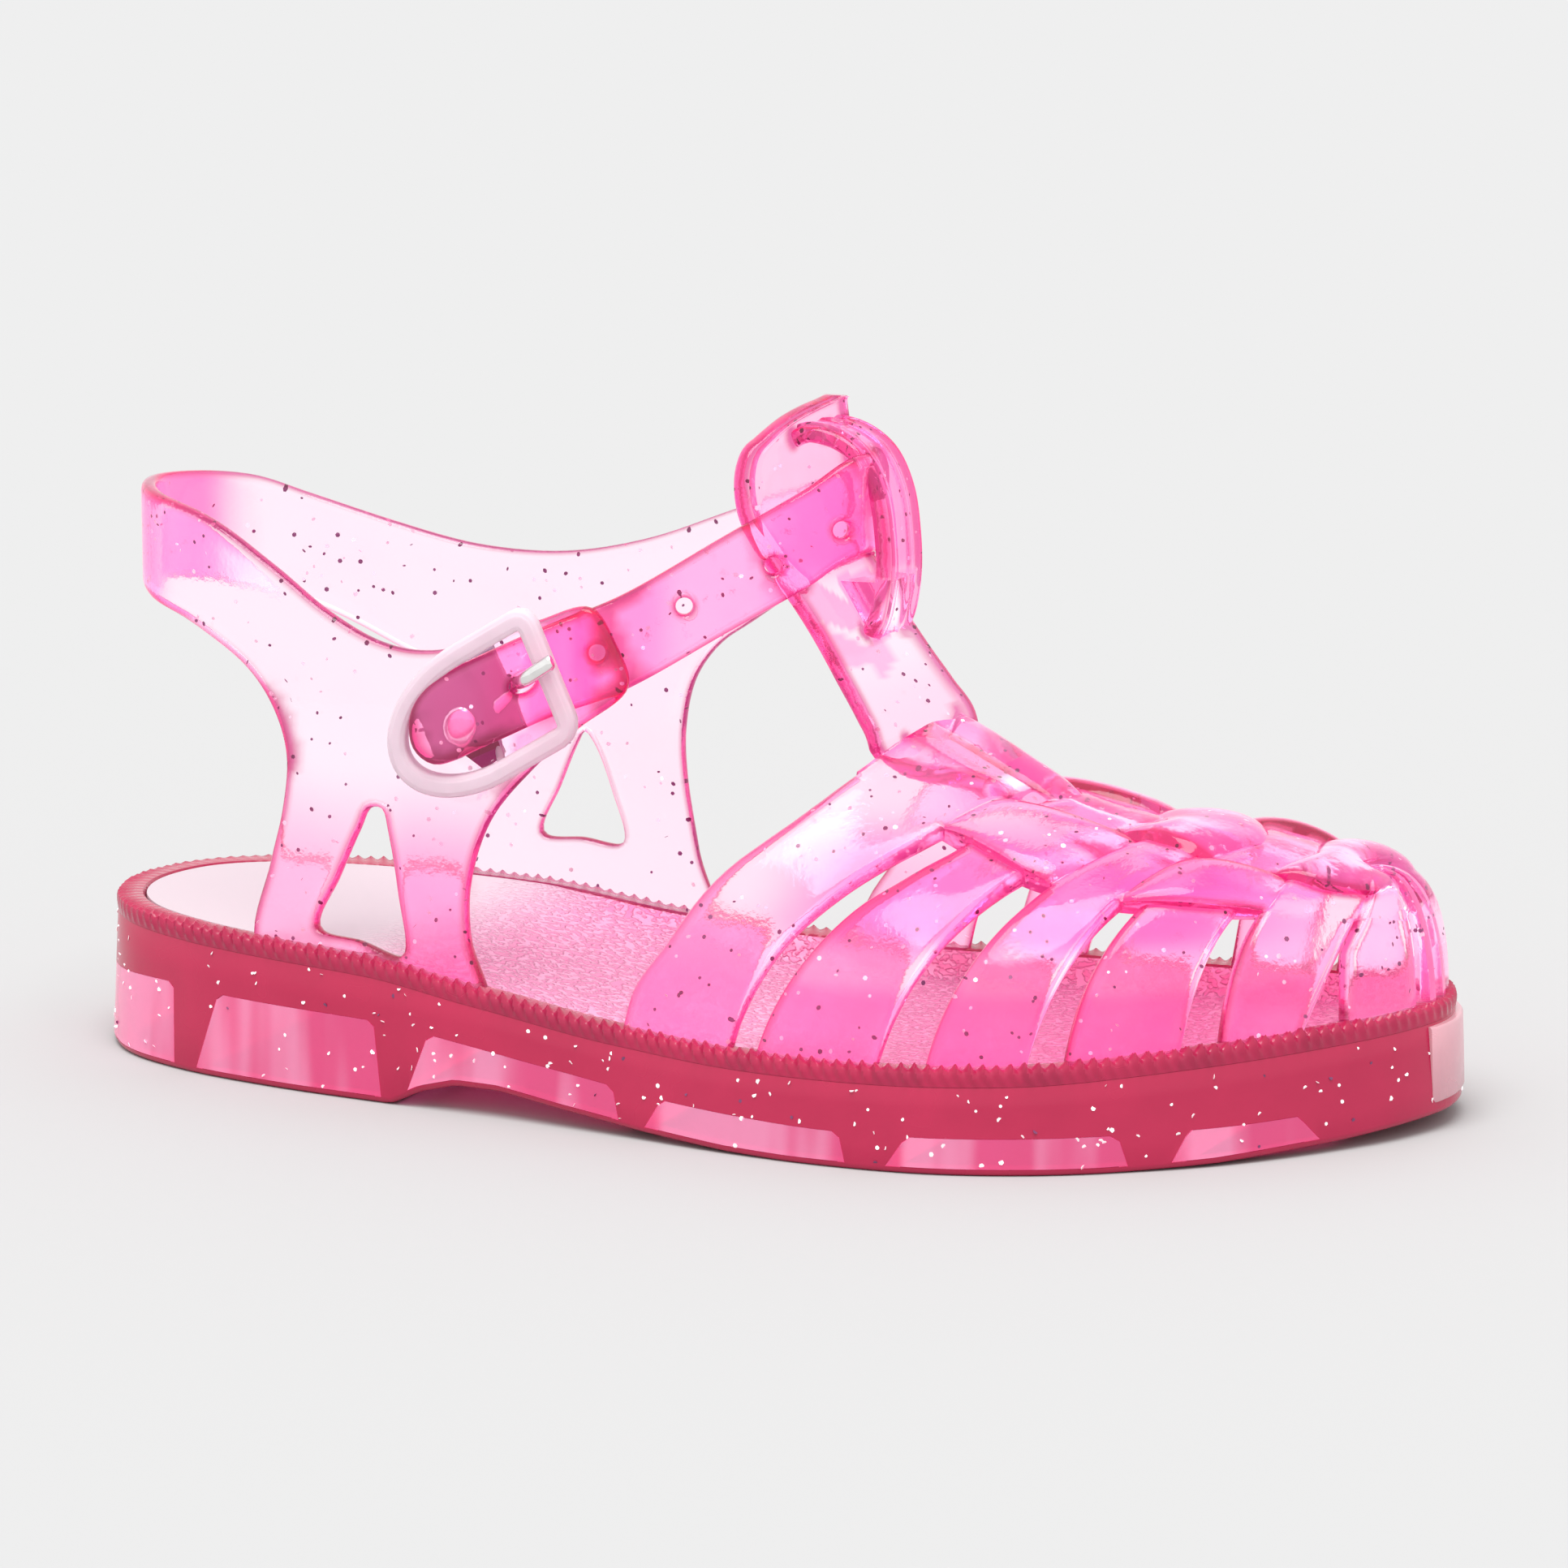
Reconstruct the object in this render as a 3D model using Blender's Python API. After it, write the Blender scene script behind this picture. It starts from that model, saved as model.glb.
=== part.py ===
"""Child's translucent jelly fisherman sandal, right shoe.

Working frame in millimetres: heel tip at x = 0, toe along +X, medial side +Y, ground at z = 0.
The finished parts are moved so that the middle of their box is over the origin.
"""
import math

import bmesh
import bpy
import numpy as np
from mathutils import Vector
from mathutils.geometry import delaunay_2d_cdt

for old in list(bpy.data.objects):
    bpy.data.objects.remove(old, do_unlink=True)

MM = 0.001

# Driving sizes
SEAT = 0.3            # space left between pieces that meet
WALL = 2.0            # thickness of the moulded straps
STRAP_INSET = 2.2     # middle of the straps inside the rim
WELT_WIDTH = 4.6
WELT_HEIGHT = 1.8
FOOT_SINK = 1.5       # how far strap feet reach down into the welt
SOLE_FLARE = 0.8      # sole wall outside the rim at the ground
EDGE_ROUND = 0.8
SKIRT = 3.4           # wall of the sole round its pockets
INSOLE_THICK = 1.6
CROWN = 0.5           # rounding of the strap tops
WEAVE_RISE = 2.3      # climb of a lengthwise strip where it passes over a cross strap
WEAVE_SINK = 1.1
HOLE_RADIUS = 1.0
STATIONS = 44         # points along each side of the sole
RING_FRONT_HALF = 5.5
PRONG_RADIUS = 0.65

# Rim of the sole from above: x, y from the back of the heel along the lateral side
RIM_POINTS = (
    (0.0, -4.0), (2.2, -13.0), (8.0, -20.0), (18.0, -25.0), (32.0, -28.2), (48.0, -29.9), (64.0, -31.0),
    (80.0, -33.0), (96.0, -35.3), (110.0, -36.0), (122.0, -34.6), (133.0, -30.3), (142.0, -24.2),
    (150.5, -16.5), (158.5, -6.0), (163.9, 4.0), (165.6, 13.0), (162.0, 22.5), (155.5, 27.8),
    (145.0, 30.6), (128.0, 31.9), (110.0, 31.0), (94.0, 28.2), (78.0, 24.7), (62.0, 21.6), (50.0, 20.5),
    (36.0, 19.8), (22.0, 18.0), (9.5, 13.2), (2.4, 6.0))

# Height profiles along the foot: x, z
RIM_HEIGHT = ((0, 18.4), (25, 17.7), (45, 17.0), (60, 15.0), (80, 12.8), (100, 12.0), (130, 12.4),
              (150, 13.8), (166, 14.9))
GROUND_HEIGHT = ((0, 0.6), (6, 0.0), (49, 0.0), (53, 1.9), (58, 3.2), (64, 3.2), (72, 2.2), (84, 1.0),
                 (96, 0.2), (104, 0.0), (140, 0.0), (150, 0.3), (160, 1.2), (166, 2.0))
FOOTBED_DEPTH = ((0, 0.2), (44, 0.2), (62, 1.6), (80, 2.8), (150, 2.8), (166, 2.4))

# Pockets open underneath: x from, x to, roof z
POCKETS = ((5.0, 13.0, 9.2), (19.0, 43.5, 9.6), (60.0, 79.0, 6.6), (85.5, 110.0, 4.2), (116.0, 141.0, 4.2),
           (147.0, 158.0, 4.8))

# Forefoot surface: lateral rim x, medial rim x, crest x, crest y, crest z
FORE_COLUMNS = ("lateral", "medial", "crest_x", "crest_y", "crest_z")
FORE_ROWS = (
    (70.0, 74.0, 98.0, 0.0, 48.5), (80.5, 82.5, 106.0, -0.3, 44.8), (88.0, 90.0, 112.5, -1.0, 42.0),
    (96.0, 97.0, 119.0, -1.5, 39.2), (106.5, 107.0, 126.5, -1.5, 36.6), (116.5, 115.5, 133.0, -1.0, 35.0),
    (125.5, 123.0, 138.8, 0.2, 34.1), (133.0, 130.0, 143.5, 1.6, 33.6), (140.0, 137.0, 147.5, 3.0, 33.1),
    (147.0, 144.5, 151.0, 4.6, 32.0), (153.0, 151.0, 153.6, 6.0, 31.2), (158.5, 157.0, 155.4, 7.4, 30.5),
    (163.4, 163.4, 156.4, 9.0, 30.0))

# Cross straps by lateral rim station: rear edge at the lateral foot, crest, medial foot; front edge likewise
CROSS_COLUMNS = ("rear_lat", "rear_top", "rear_med", "front_lat", "front_top", "front_med")
CROSS_STRAPS = (
    (80.2, 91.0, 81.5, 95.2, 107.0, 96.0),
    (98.6, 109.0, 101.5, 114.0, 121.0, 111.0),
    (119.8, 125.0, 117.5, 130.7, 137.0, 128.0),
    (134.6, 138.2, 133.0, 145.4, 149.1, 143.0),
    (148.8, 150.9, 147.0, 155.1, 162.3, 154.0))
TOE_STRAP_REAR = 158.5
TOE_SLIT = (163.05, 163.25)
TOE_TIP = 163.4
TOE_GAP_TOP = 0.64    # the last gap and the slits beside the toe strip stop here across the foot
TOE_SLIT_TOP = 0.80

# Lengthwise strips: station, lower and upper edge of the outer ones, both edges of the middle one
WEAVE_COLUMNS = ("station", "low", "high", "mid_lateral", "mid_medial")
WEAVE_ROWS = (
    (82.0, 0.22, 0.12, -0.10, 0.10), (104.0, 0.27, 0.10, -0.08, 0.08), (122.0, 0.36, 0.12, -0.095, 0.095),
    (137.0, 0.43, 0.18, -0.155, 0.14), (150.0, 0.43, 0.21, -0.185, 0.17),
    (158.0, 0.50, 0.34, -0.315, 0.30), (163.4, 0.54, 0.38, -0.355, 0.355))
# Places of the points over a cross strap, over the outer part of one and over a lengthwise strip
STRAP_STEPS = (0.0, 0.16, 0.5, 0.84, 1.0)
SIDE_STEPS = (0.0, 0.09, 0.2, 0.32, 0.45, 0.58, 0.7, 0.82, 0.92, 1.0)
STRIP_STEPS = (0.0, 0.14, 0.5, 0.86, 1.0)
TOE_STEPS = (0.0, 0.34, 0.67, 1.0)

# Ankle sheet in plan, from the lateral tab round the heel, then as the long strap back to the buckle
SHEET_COLUMNS = ("base_x", "base_y", "top_x", "top_y")
SHEET_ROWS = (
    (80.0, -31.0, 80.0, -17.6), (70.0, -29.6, 70.0, -19.4), (60.0, -28.6, 60.0, -20.6),
    (45.0, -27.4, 45.0, -21.2), (30.0, -25.6, 30.0, -20.6), (18.0, -22.8, 18.5, -18.6),
    (8.4, -17.4, 9.5, -14.4), (2.2, -4.0, 4.0, -4.0), (9.8, 10.6, 10.5, 7.6), (22.0, 15.8, 22.0, 13.2),
    (36.0, 17.6, 36.0, 15.8), (50.0, 18.3, 50.0, 16.8), (64.0, 19.6, 64.0, 16.6),
    (76.0, 22.0, 76.0, 14.8), (88.0, 9.8, 88.0, 9.8), (95.2, 5.2, 95.2, 5.2), (97.0, -1.0, 97.0, -1.0),
    (93.0, -5.8, 93.0, -5.8), (84.0, -11.4, 84.0, -11.4), (74.0, -17.2, 74.0, -17.2),
    (66.0, -21.5, 66.0, -21.5), (58.0, -26.3, 58.0, -26.3), (50.0, -28.9, 50.0, -28.9),
    (43.0, -29.6, 43.0, -29.6))
LATERAL, MEDIAL, NEAR = 0, 1, 2
LEAN_FROM, LEAN_TO = 15.0, 50.0

# Outline of the ankle sheet: section of the path, x, z (a z of None is the foot in the welt)
SHEET_OUTLINE = (
    (LATERAL, 61.0, None), (LATERAL, 58.6, 20.6), (LATERAL, 57.9, 27.0), (LATERAL, 59.5, 34.0),
    (LATERAL, 64.0, 40.0), (LATERAL, 69.0, 44.8), (LATERAL, 75.0, 50.0), (LATERAL, 73.6, 55.0),
    (LATERAL, 70.6, 59.3), (LATERAL, 64.0, 57.4), (LATERAL, 58.0, 55.3), (LATERAL, 53.9, 53.6),
    (LATERAL, 48.4, 52.8), (LATERAL, 43.0, 53.6), (LATERAL, 36.5, 56.5), (LATERAL, 29.0, 61.2),
    (LATERAL, 20.0, 65.8), (LATERAL, 11.0, 67.6), (MEDIAL, 4.0, 67.8), (MEDIAL, 10.0, 66.4),
    (MEDIAL, 16.4, 63.8), (MEDIAL, 26.5, 60.5), (MEDIAL, 37.0, 58.3), (MEDIAL, 48.0, 58.2),
    (MEDIAL, 59.0, 60.5), (MEDIAL, 71.5, 65.2), (MEDIAL, 82.0, 69.3), (MEDIAL, 92.0, 73.8),
    (NEAR, 96.9, 76.4), (NEAR, 92.0, 72.6), (NEAR, 84.0, 67.4), (NEAR, 73.5, 60.6), (NEAR, 66.0, 57.2),
    (NEAR, 57.0, 52.6), (NEAR, 53.4, 50.0), (NEAR, 51.8, 47.0), (NEAR, 52.6, 44.2), (NEAR, 55.0, 43.0),
    (NEAR, 60.0, 44.8), (NEAR, 66.0, 47.3), (NEAR, 73.5, 49.4), (NEAR, 84.0, 55.8), (NEAR, 92.0, 60.9),
    (NEAR, 96.9, 64.6), (MEDIAL, 90.0, 61.0), (MEDIAL, 82.0, 57.0), (MEDIAL, 74.0, 51.8),
    (MEDIAL, 69.2, 48.5), (MEDIAL, 65.6, 43.9), (MEDIAL, 63.8, 37.8), (MEDIAL, 63.5, 31.8),
    (MEDIAL, 64.5, 22.0), (MEDIAL, 66.0, None), (MEDIAL, 35.0, None), (MEDIAL, 36.3, 27.0),
    (MEDIAL, 36.3, 35.0), (MEDIAL, 33.0, 41.5), (MEDIAL, 26.0, 45.4), (MEDIAL, 15.0, 50.8),
    (MEDIAL, 4.0, 55.2), (LATERAL, 11.0, 54.4), (LATERAL, 16.6, 53.0), (LATERAL, 24.3, 49.2),
    (LATERAL, 28.6, 44.7), (LATERAL, 31.2, 39.0), (LATERAL, 31.3, 32.5), (LATERAL, 30.3, 26.6),
    (LATERAL, 29.0, None))
# Windows of the two quarters: section of the path, then x, z of the corners
SHEET_WINDOWS = (
    (LATERAL, ((44.2, 33.6), (42.4, 31.6), (39.8, 25.5), (37.4, 19.6), (43.5, 18.6), (49.8, 17.6), (48.4, 25.0), (46.0, 31.6))),
    (MEDIAL, ((50.3, 36.2), (49.2, 34.6), (46.6, 29.0), (44.0, 23.0), (49.4, 22.8), (54.8, 22.6), (53.6, 29.0), (51.6, 34.6))))
# Prong holes in the long strap: x, z
STRAP_HOLES = ((95.4, 67.8), (89.0, 63.9), (80.0, 59.3), (71.2, 54.0))
# The hole in use is drawn out by the prong: x, z, half length, half width, slope in degrees
USED_HOLE = (61.4, 49.9, 3.8, 1.3, -27.0)

# T-bar with its rounded tongue: x, y, z, half width, turn of the width towards the toe in degrees
TBAR_ROWS = (
    (121.0, -1.4, 37.3, 4.4, 0), (117.5, -1.2, 41.0, 5.6, 0), (112.5, -0.9, 43.4, 6.3, 2),
    (107.4, -0.5, 45.3, 6.8, 6), (103.2, -0.3, 47.4, 6.7, 12), (99.6, -0.2, 51.0, 6.5, 17),
    (96.4, -0.2, 55.5, 6.5, 20), (93.2, -0.3, 60.3, 6.8, 22), (90.6, -0.5, 65.0, 7.6, 23),
    (88.4, -0.4, 70.5, 8.5, 24), (87.3, 0.0, 75.5, 8.6, 24), (87.0, 0.4, 79.2, 7.2, 24),
    (87.0, 0.7, 81.4, 4.6, 24), (87.1, 0.9, 82.4, 2.2, 24))
# Front strip of the loop over the strap: x, y, z
LOOP_ROWS = ((96.6, -0.2, 54.0), (98.8, 0.2, 56.2), (100.2, 0.6, 61.5), (100.4, 0.8, 67.0), (99.2, 1.0, 72.8),
             (96.6, 1.0, 77.2), (92.8, 0.9, 79.8), (89.0, 0.6, 80.2), (86.6, 0.4, 78.6))

# Buckle
BUCKLE_TOP = (65.1, -25.8, 60.0)     # upper end of the flat bar
BUCKLE_LOW = (70.8, -23.6, 46.0)     # lower end of the flat bar
BUCKLE_ROUND = (46.4, -27.2, 41.6)   # middle of the round end
BUCKLE_HALF = 8.3
BUCKLE_BAR = 1.25     # half of the ring's width
BUCKLE_THICK = 1.0    # half of the ring's thickness
CROSSBAR_AT = 0.50
CROSSBAR_RADIUS = 0.74
CROSSBAR_DROP = 1.55


def smooth(pairs, x):
    """Monotone cubic through pairs of x and value."""
    a = np.array(pairs, float)
    xs = np.atleast_1d(np.asarray(x, float))
    d = np.diff(a[:, 1]) / np.diff(a[:, 0])
    total = np.where(np.abs(d[:-1] + d[1:]) < 1e-12, 1.0, d[:-1] + d[1:])
    inner = np.where(d[:-1] * d[1:] > 0, 2 * d[:-1] * d[1:] / total, 0.0)
    m = np.concatenate([[d[0]], inner, [d[-1]]])
    i = np.clip(np.searchsorted(a[:, 0], xs) - 1, 0, len(a) - 2)
    h = a[i + 1, 0] - a[i, 0]
    t = np.clip((xs - a[i, 0]) / h, 0, 1)
    y = ((2 * t**3 - 3 * t**2 + 1) * a[i, 1] + (t**3 - 2 * t**2 + t) * h * m[i]
         + (3 * t**2 - 2 * t**3) * a[i + 1, 1] + (t**3 - t**2) * h * m[i + 1])
    return y if np.ndim(x) else float(y[0])


def column(rows, names, key, want, x):
    """One named column of a table against another."""
    a = np.array(rows, float)
    return smooth(np.stack([a[:, names.index(key)], a[:, names.index(want)]], 1), x)


def spline(points, steps, closed):
    """Centripetal Catmull-Rom curve through points."""
    p = np.array(points, float)
    if not closed:
        p = np.vstack([2 * p[0] - p[1], p, 2 * p[-1] - p[-2]])
    n = len(p)
    spans = range(n) if closed else range(1, n - 2)
    out = []
    for i in spans:
        q = [p[(i - 1) % n], p[i], p[(i + 1) % n], p[(i + 2) % n]]
        t = [0.0]
        for a, b in zip(q, q[1:]):
            t.append(t[-1] + max(np.linalg.norm(b - a), 1e-6)**0.5)
        for k in range(steps):
            s = t[1] + (t[2] - t[1]) * k / steps
            a1 = ((t[1] - s) * q[0] + (s - t[0]) * q[1]) / (t[1] - t[0])
            a2 = ((t[2] - s) * q[1] + (s - t[1]) * q[2]) / (t[2] - t[1])
            a3 = ((t[3] - s) * q[2] + (s - t[2]) * q[3]) / (t[3] - t[2])
            b1 = ((t[2] - s) * a1 + (s - t[0]) * a2) / (t[2] - t[0])
            b2 = ((t[3] - s) * a2 + (s - t[1]) * a3) / (t[3] - t[1])
            out.append(((t[2] - s) * b1 + (s - t[1]) * b2) / (t[2] - t[1]))
    if not closed:
        out.append(p[-2])
    return np.array(out)


def arc_lengths(points):
    return np.concatenate([[0.0], np.cumsum(np.linalg.norm(np.diff(points, axis=0), axis=1))])


def resample(points, count):
    s = arc_lengths(points)
    want = np.linspace(0, s[-1], count)
    return np.stack([np.interp(want, s, points[:, k]) for k in range(points.shape[1])], 1)


def inset(loop, distance):
    """Closed plan loop moved inwards (the loop runs clockwise seen from above: heel, lateral side, toe)."""
    t = np.roll(loop, -1, 0) - np.roll(loop, 1, 0)
    t /= np.linalg.norm(t, axis=1)[:, None]
    return loop + np.stack([-t[:, 1], t[:, 0]], 1) * distance


RIM_LOOP = spline(RIM_POINTS, 40, True)


def side_paths(distance):
    """Lateral and medial halves of the rim moved inwards, both from the heel to the toe."""
    loop = inset(RIM_LOOP, distance)
    start, tip = int(np.argmin(loop[:, 0])), int(np.argmax(loop[:, 0]))
    loop = np.roll(loop, -start, 0)
    tip = (tip - start) % len(loop)
    return loop[:tip + 1], np.vstack([loop[tip:], loop[:1]])[::-1]


LAT_PATH, MED_PATH = side_paths(STRAP_INSET)


def on_side(path, x):
    return np.stack([np.interp(x, path[:, 0], path[:, 0]), np.interp(x, path[:, 0], path[:, 1])], -1)


def rim_z(x):
    return smooth(RIM_HEIGHT, x)


def make_object(name, verts, faces, material):
    mesh = bpy.data.meshes.new(name)
    mesh.from_pydata([tuple(v) for v in verts], [], [tuple(int(i) for i in f) for f in faces])
    work = bmesh.new()
    work.from_mesh(mesh)
    bmesh.ops.remove_doubles(work, verts=work.verts, dist=1e-4)
    bmesh.ops.triangulate(work, faces=work.faces)
    bmesh.ops.recalc_face_normals(work, faces=work.faces)
    if work.calc_volume(signed=True) < 0:
        bmesh.ops.reverse_faces(work, faces=work.faces)
    work.to_mesh(mesh)
    work.free()
    obj = bpy.data.objects.new(name, mesh)
    bpy.context.scene.collection.objects.link(obj)
    if material:
        mesh.materials.append(material)
    return obj


def boolean(target, tool, operation):
    """Joins a tool with the target or cuts it away; the tool is used up."""
    mod = target.modifiers.new("join", "BOOLEAN")
    mod.operation = operation
    mod.solver = "EXACT"
    mod.object = tool
    graph = bpy.context.evaluated_depsgraph_get()
    fresh = bpy.data.meshes.new_from_object(target.evaluated_get(graph))
    target.modifiers.remove(mod)
    target.data = fresh
    bpy.data.objects.remove(tool, do_unlink=True)
    return target


def clean(obj, weld):
    """Welds close points, drops slivers and makes triangles."""
    work = bmesh.new()
    work.from_mesh(obj.data)
    bmesh.ops.remove_doubles(work, verts=work.verts, dist=weld)
    bmesh.ops.dissolve_degenerate(work, edges=work.edges, dist=weld)
    bmesh.ops.triangulate(work, faces=work.faces)
    bmesh.ops.recalc_face_normals(work, faces=work.faces)
    if work.calc_volume(signed=True) < 0:
        bmesh.ops.reverse_faces(work, faces=work.faces)
    work.to_mesh(obj.data)
    work.free()


def material(name, colour, roughness, metallic, transmission):
    mat = bpy.data.materials.new(name)
    mat.use_nodes = True
    shader = mat.node_tree.nodes["Principled BSDF"]
    shader.inputs["Base Color"].default_value = (*colour, 1.0)
    shader.inputs["Roughness"].default_value = roughness
    shader.inputs["Metallic"].default_value = metallic
    shader.inputs["Transmission Weight"].default_value = transmission
    mat.diffuse_color = (*colour, 1.0)
    return mat


def sole_loop(distance, height):
    """Closed loop of points round the foot: lateral side to the toe, then the medial side back."""
    lat, med = side_paths(distance)
    lat, med = resample(lat, STATIONS + 1), resample(med, STATIONS + 1)
    flat = np.vstack([lat, med[-2:0:-1]])
    return np.column_stack([flat, height(flat[:, 0])])


def cap(first, total, flip):
    """Faces across a loop, from each lateral point to its medial partner."""
    faces = []
    for i in range(total // 2):
        quad = [i, i + 1, (total - i - 1) % total, (total - i) % total]
        quad = list(dict.fromkeys(quad))
        faces.append([first + q for q in (quad[::-1] if flip else quad)])
    return faces


def stack_of_loops(levels):
    """Closed body from loops one above the other, with a cap on the first and the last."""
    total = len(levels[0])
    verts = np.vstack(levels)
    faces = cap(0, total, False)
    for k in range(len(levels) - 1):
        for i in range(total):
            j = (i + 1) % total
            faces.append([k * total + i, k * total + j, (k + 1) * total + j, (k + 1) * total + i])
    faces += cap((len(levels) - 1) * total, total, True)
    return verts, faces


def ring_of_sections(sections, closed):
    """Body swept through sections of equal count; an open sweep gets end caps."""
    count, width = len(sections), len(sections[0])
    verts = np.vstack(sections)
    faces = []
    for k in range(count if closed else count - 1):
        n = (k + 1) % count
        for i in range(width):
            j = (i + 1) % width
            faces.append([k * width + i, k * width + j, n * width + j, n * width + i])
    if not closed:
        faces.append(list(range(width))[::-1])
        faces.append([(count - 1) * width + i for i in range(width)])
    return verts, faces


def inside(points, polygon):
    """Which points lie in a closed polygon."""
    x, y = points[:, 0], points[:, 1]
    result = np.zeros(len(points), bool)
    for a, b in zip(polygon, np.roll(polygon, -1, 0)):
        crossing = (a[1] > y) != (b[1] > y)
        slope = (b[0] - a[0]) / (b[1] - a[1] if b[1] != a[1] else 1e-9)
        result ^= crossing & (x < a[0] + (y - a[1]) * slope)
    return result


def distance_to(points, polygon):
    best = np.full(len(points), 1e9)
    for a, b in zip(polygon, np.roll(polygon, -1, 0)):
        ab = b - a
        t = np.clip(((points - a) @ ab) / max(ab @ ab, 1e-12), 0, 1)
        best = np.minimum(best, np.linalg.norm(points - a - t[:, None] * ab, axis=1))
    return best


def sheet_triangles(outline, holes, extra, spacing):
    """Triangles of a flat region with holes; extra points keep a distance from edges and from each other."""
    edges_of = [outline] + holes
    keep = inside(extra, outline) & (distance_to(extra, outline) > spacing)
    for hole in holes:
        keep &= ~inside(extra, hole) & (distance_to(extra, hole) > spacing)
    kept = []
    cells = {}
    for index in np.nonzero(keep)[0]:
        p = extra[index]
        cell = (int(p[0] // spacing), int(p[1] // spacing))
        close = [q for i in (-1, 0, 1) for j in (-1, 0, 1) for q in cells.get((cell[0] + i, cell[1] + j), ())]
        if all(np.hypot(*(q - p)) > spacing for q in close):
            cells.setdefault(cell, []).append(p)
            kept.append(index)
    coords, edges = [], []
    for poly in edges_of:
        first = len(coords)
        coords += [Vector(p) for p in poly]
        edges += [(first + i, first + (i + 1) % len(poly)) for i in range(len(poly))]
    coords += [Vector(extra[i]) for i in kept]
    flat, _, faces, origin, _, _ = delaunay_2d_cdt(coords, edges, [], 0, 1e-5)
    flat = np.array([tuple(v) for v in flat])
    if any(not o for o in origin):
        raise ValueError("outlines cross at %s" % [tuple(p) for p, o in zip(flat, origin) if not o][:4])
    centres = np.array([flat[list(f)].mean(0) for f in faces])
    good = inside(centres, outline)
    for hole in holes:
        good &= ~inside(centres, hole)
    return [f for f, g in zip(faces, good) if g], [o[0] for o in origin], kept


def thick_sheet(outer, inner, triangles, centre):
    """Closed body between two copies of a triangulated sheet; points of the sheet that coincide become one."""
    same, number = {}, {}
    for i in sorted({i for f in triangles for i in f}):
        number[i] = same.setdefault(tuple(np.round(centre[i], 3)), len(same))
    first = {}
    for i, n in number.items():
        first.setdefault(n, i)
    order = [first[n] for n in range(len(first))]
    total = len(order)
    verts = np.vstack([outer[order], inner[order]])
    faces = []
    border = set()
    for f in triangles:
        a, b, c = (number[i] for i in f)
        if len({a, b, c}) < 3:
            continue
        faces += [(a, b, c), (total + c, total + b, total + a)]
        border |= {(a, b), (b, c), (c, a)}
    for a, b in border:
        if (b, a) not in border:
            faces.append((b, a, total + a, total + b))
    return verts, faces


# Forefoot surface
def fore(name, station):
    return column(FORE_ROWS, FORE_COLUMNS, "lateral", name, station)


def fore_base(station, across):
    return np.where((across < 0)[:, None], on_side(LAT_PATH, station), on_side(MED_PATH, fore("medial", station)))


def fore_surface(station, across):
    """Point of the forefoot surface; across runs from -1 at the lateral rim over 0 at the crest to 1."""
    base = fore_base(station, across)
    crest = np.stack([fore("crest_x", station), fore("crest_y", station)], 1)
    foot = rim_z(base[:, 0]) - FOOT_SINK
    power = 2 / (2.2 + 0.8 * np.clip((station - 125) / 35, 0, 1))
    angle = (1 - np.abs(across)) * math.pi / 2
    inward = 1 - np.maximum(np.cos(angle), 0)**power
    upward = np.maximum(np.sin(angle), 0)**power
    flat = base + (crest - base) * inward[:, None]
    return np.column_stack([flat, foot + (fore("crest_z", station) - foot) * upward])


def fore_normal(station, across):
    """Outward direction of the forefoot surface."""
    lo, hi = np.clip(across - 0.01, -1, 1), np.clip(across + 0.01, -1, 1)
    ahead, behind = np.clip(station + 0.4, 70, 163.39), np.clip(station - 0.4, 70, 163.39)
    along = fore_surface(ahead, across) - fore_surface(behind, across)
    over = fore_surface(station, hi) - fore_surface(station, lo)
    n = np.cross(along, over)
    size = np.linalg.norm(n, axis=1)
    middle = np.stack([fore("crest_x", station), fore("crest_y", station), np.full(len(station), 14.0)], 1)
    away = fore_surface(station, across) - middle
    away /= np.linalg.norm(away, axis=1)[:, None]
    n = np.where((size < 1e-4)[:, None], away, n / np.maximum(size, 1e-9)[:, None])
    n = np.where((np.sum(n * away, 1) < 0)[:, None], -n, n)
    tip = np.clip((station - 161.8) / 1.2, 0, 1)[:, None]
    n = n * (1 - tip) + away * tip
    return n / np.linalg.norm(n, axis=1)[:, None]


def strap_edge(row, end, across):
    """Station of a cross strap's rear or front edge at each place across the foot."""
    value = dict(zip(CROSS_COLUMNS, CROSS_STRAPS[row]))
    foot = np.where(across < 0, value[end + "_lat"], value[end + "_med"])
    return foot + (value[end + "_top"] - foot) * (1 - np.abs(across))**0.7


def strip_lines(station):
    """Row lines across the foot: rim, the edges of the three lengthwise strips, rim."""
    values = [column(WEAVE_ROWS, WEAVE_COLUMNS, "station", name, station) for name in WEAVE_COLUMNS[1:]]
    low, high, lateral, medial = values
    one = np.ones(len(station))
    return np.stack([-one, -low, -high, lateral, medial, high, low, one])


def strap_lines(across):
    """Column lines along the foot: rear and front edge of each cross strap, toe strap, slit and tip."""
    lines = []
    for row in range(len(CROSS_STRAPS)):
        lines += [strap_edge(row, "rear", across), strap_edge(row, "front", across)]
    lines.append(np.maximum(TOE_STRAP_REAR, lines[-1] + 0.3))
    for station in TOE_SLIT + (TOE_TIP,):
        lines.append(np.full(len(across), station))
    return np.stack(lines)


def crown(t):
    return 1 - np.abs(2 * t - 1)**4


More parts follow.
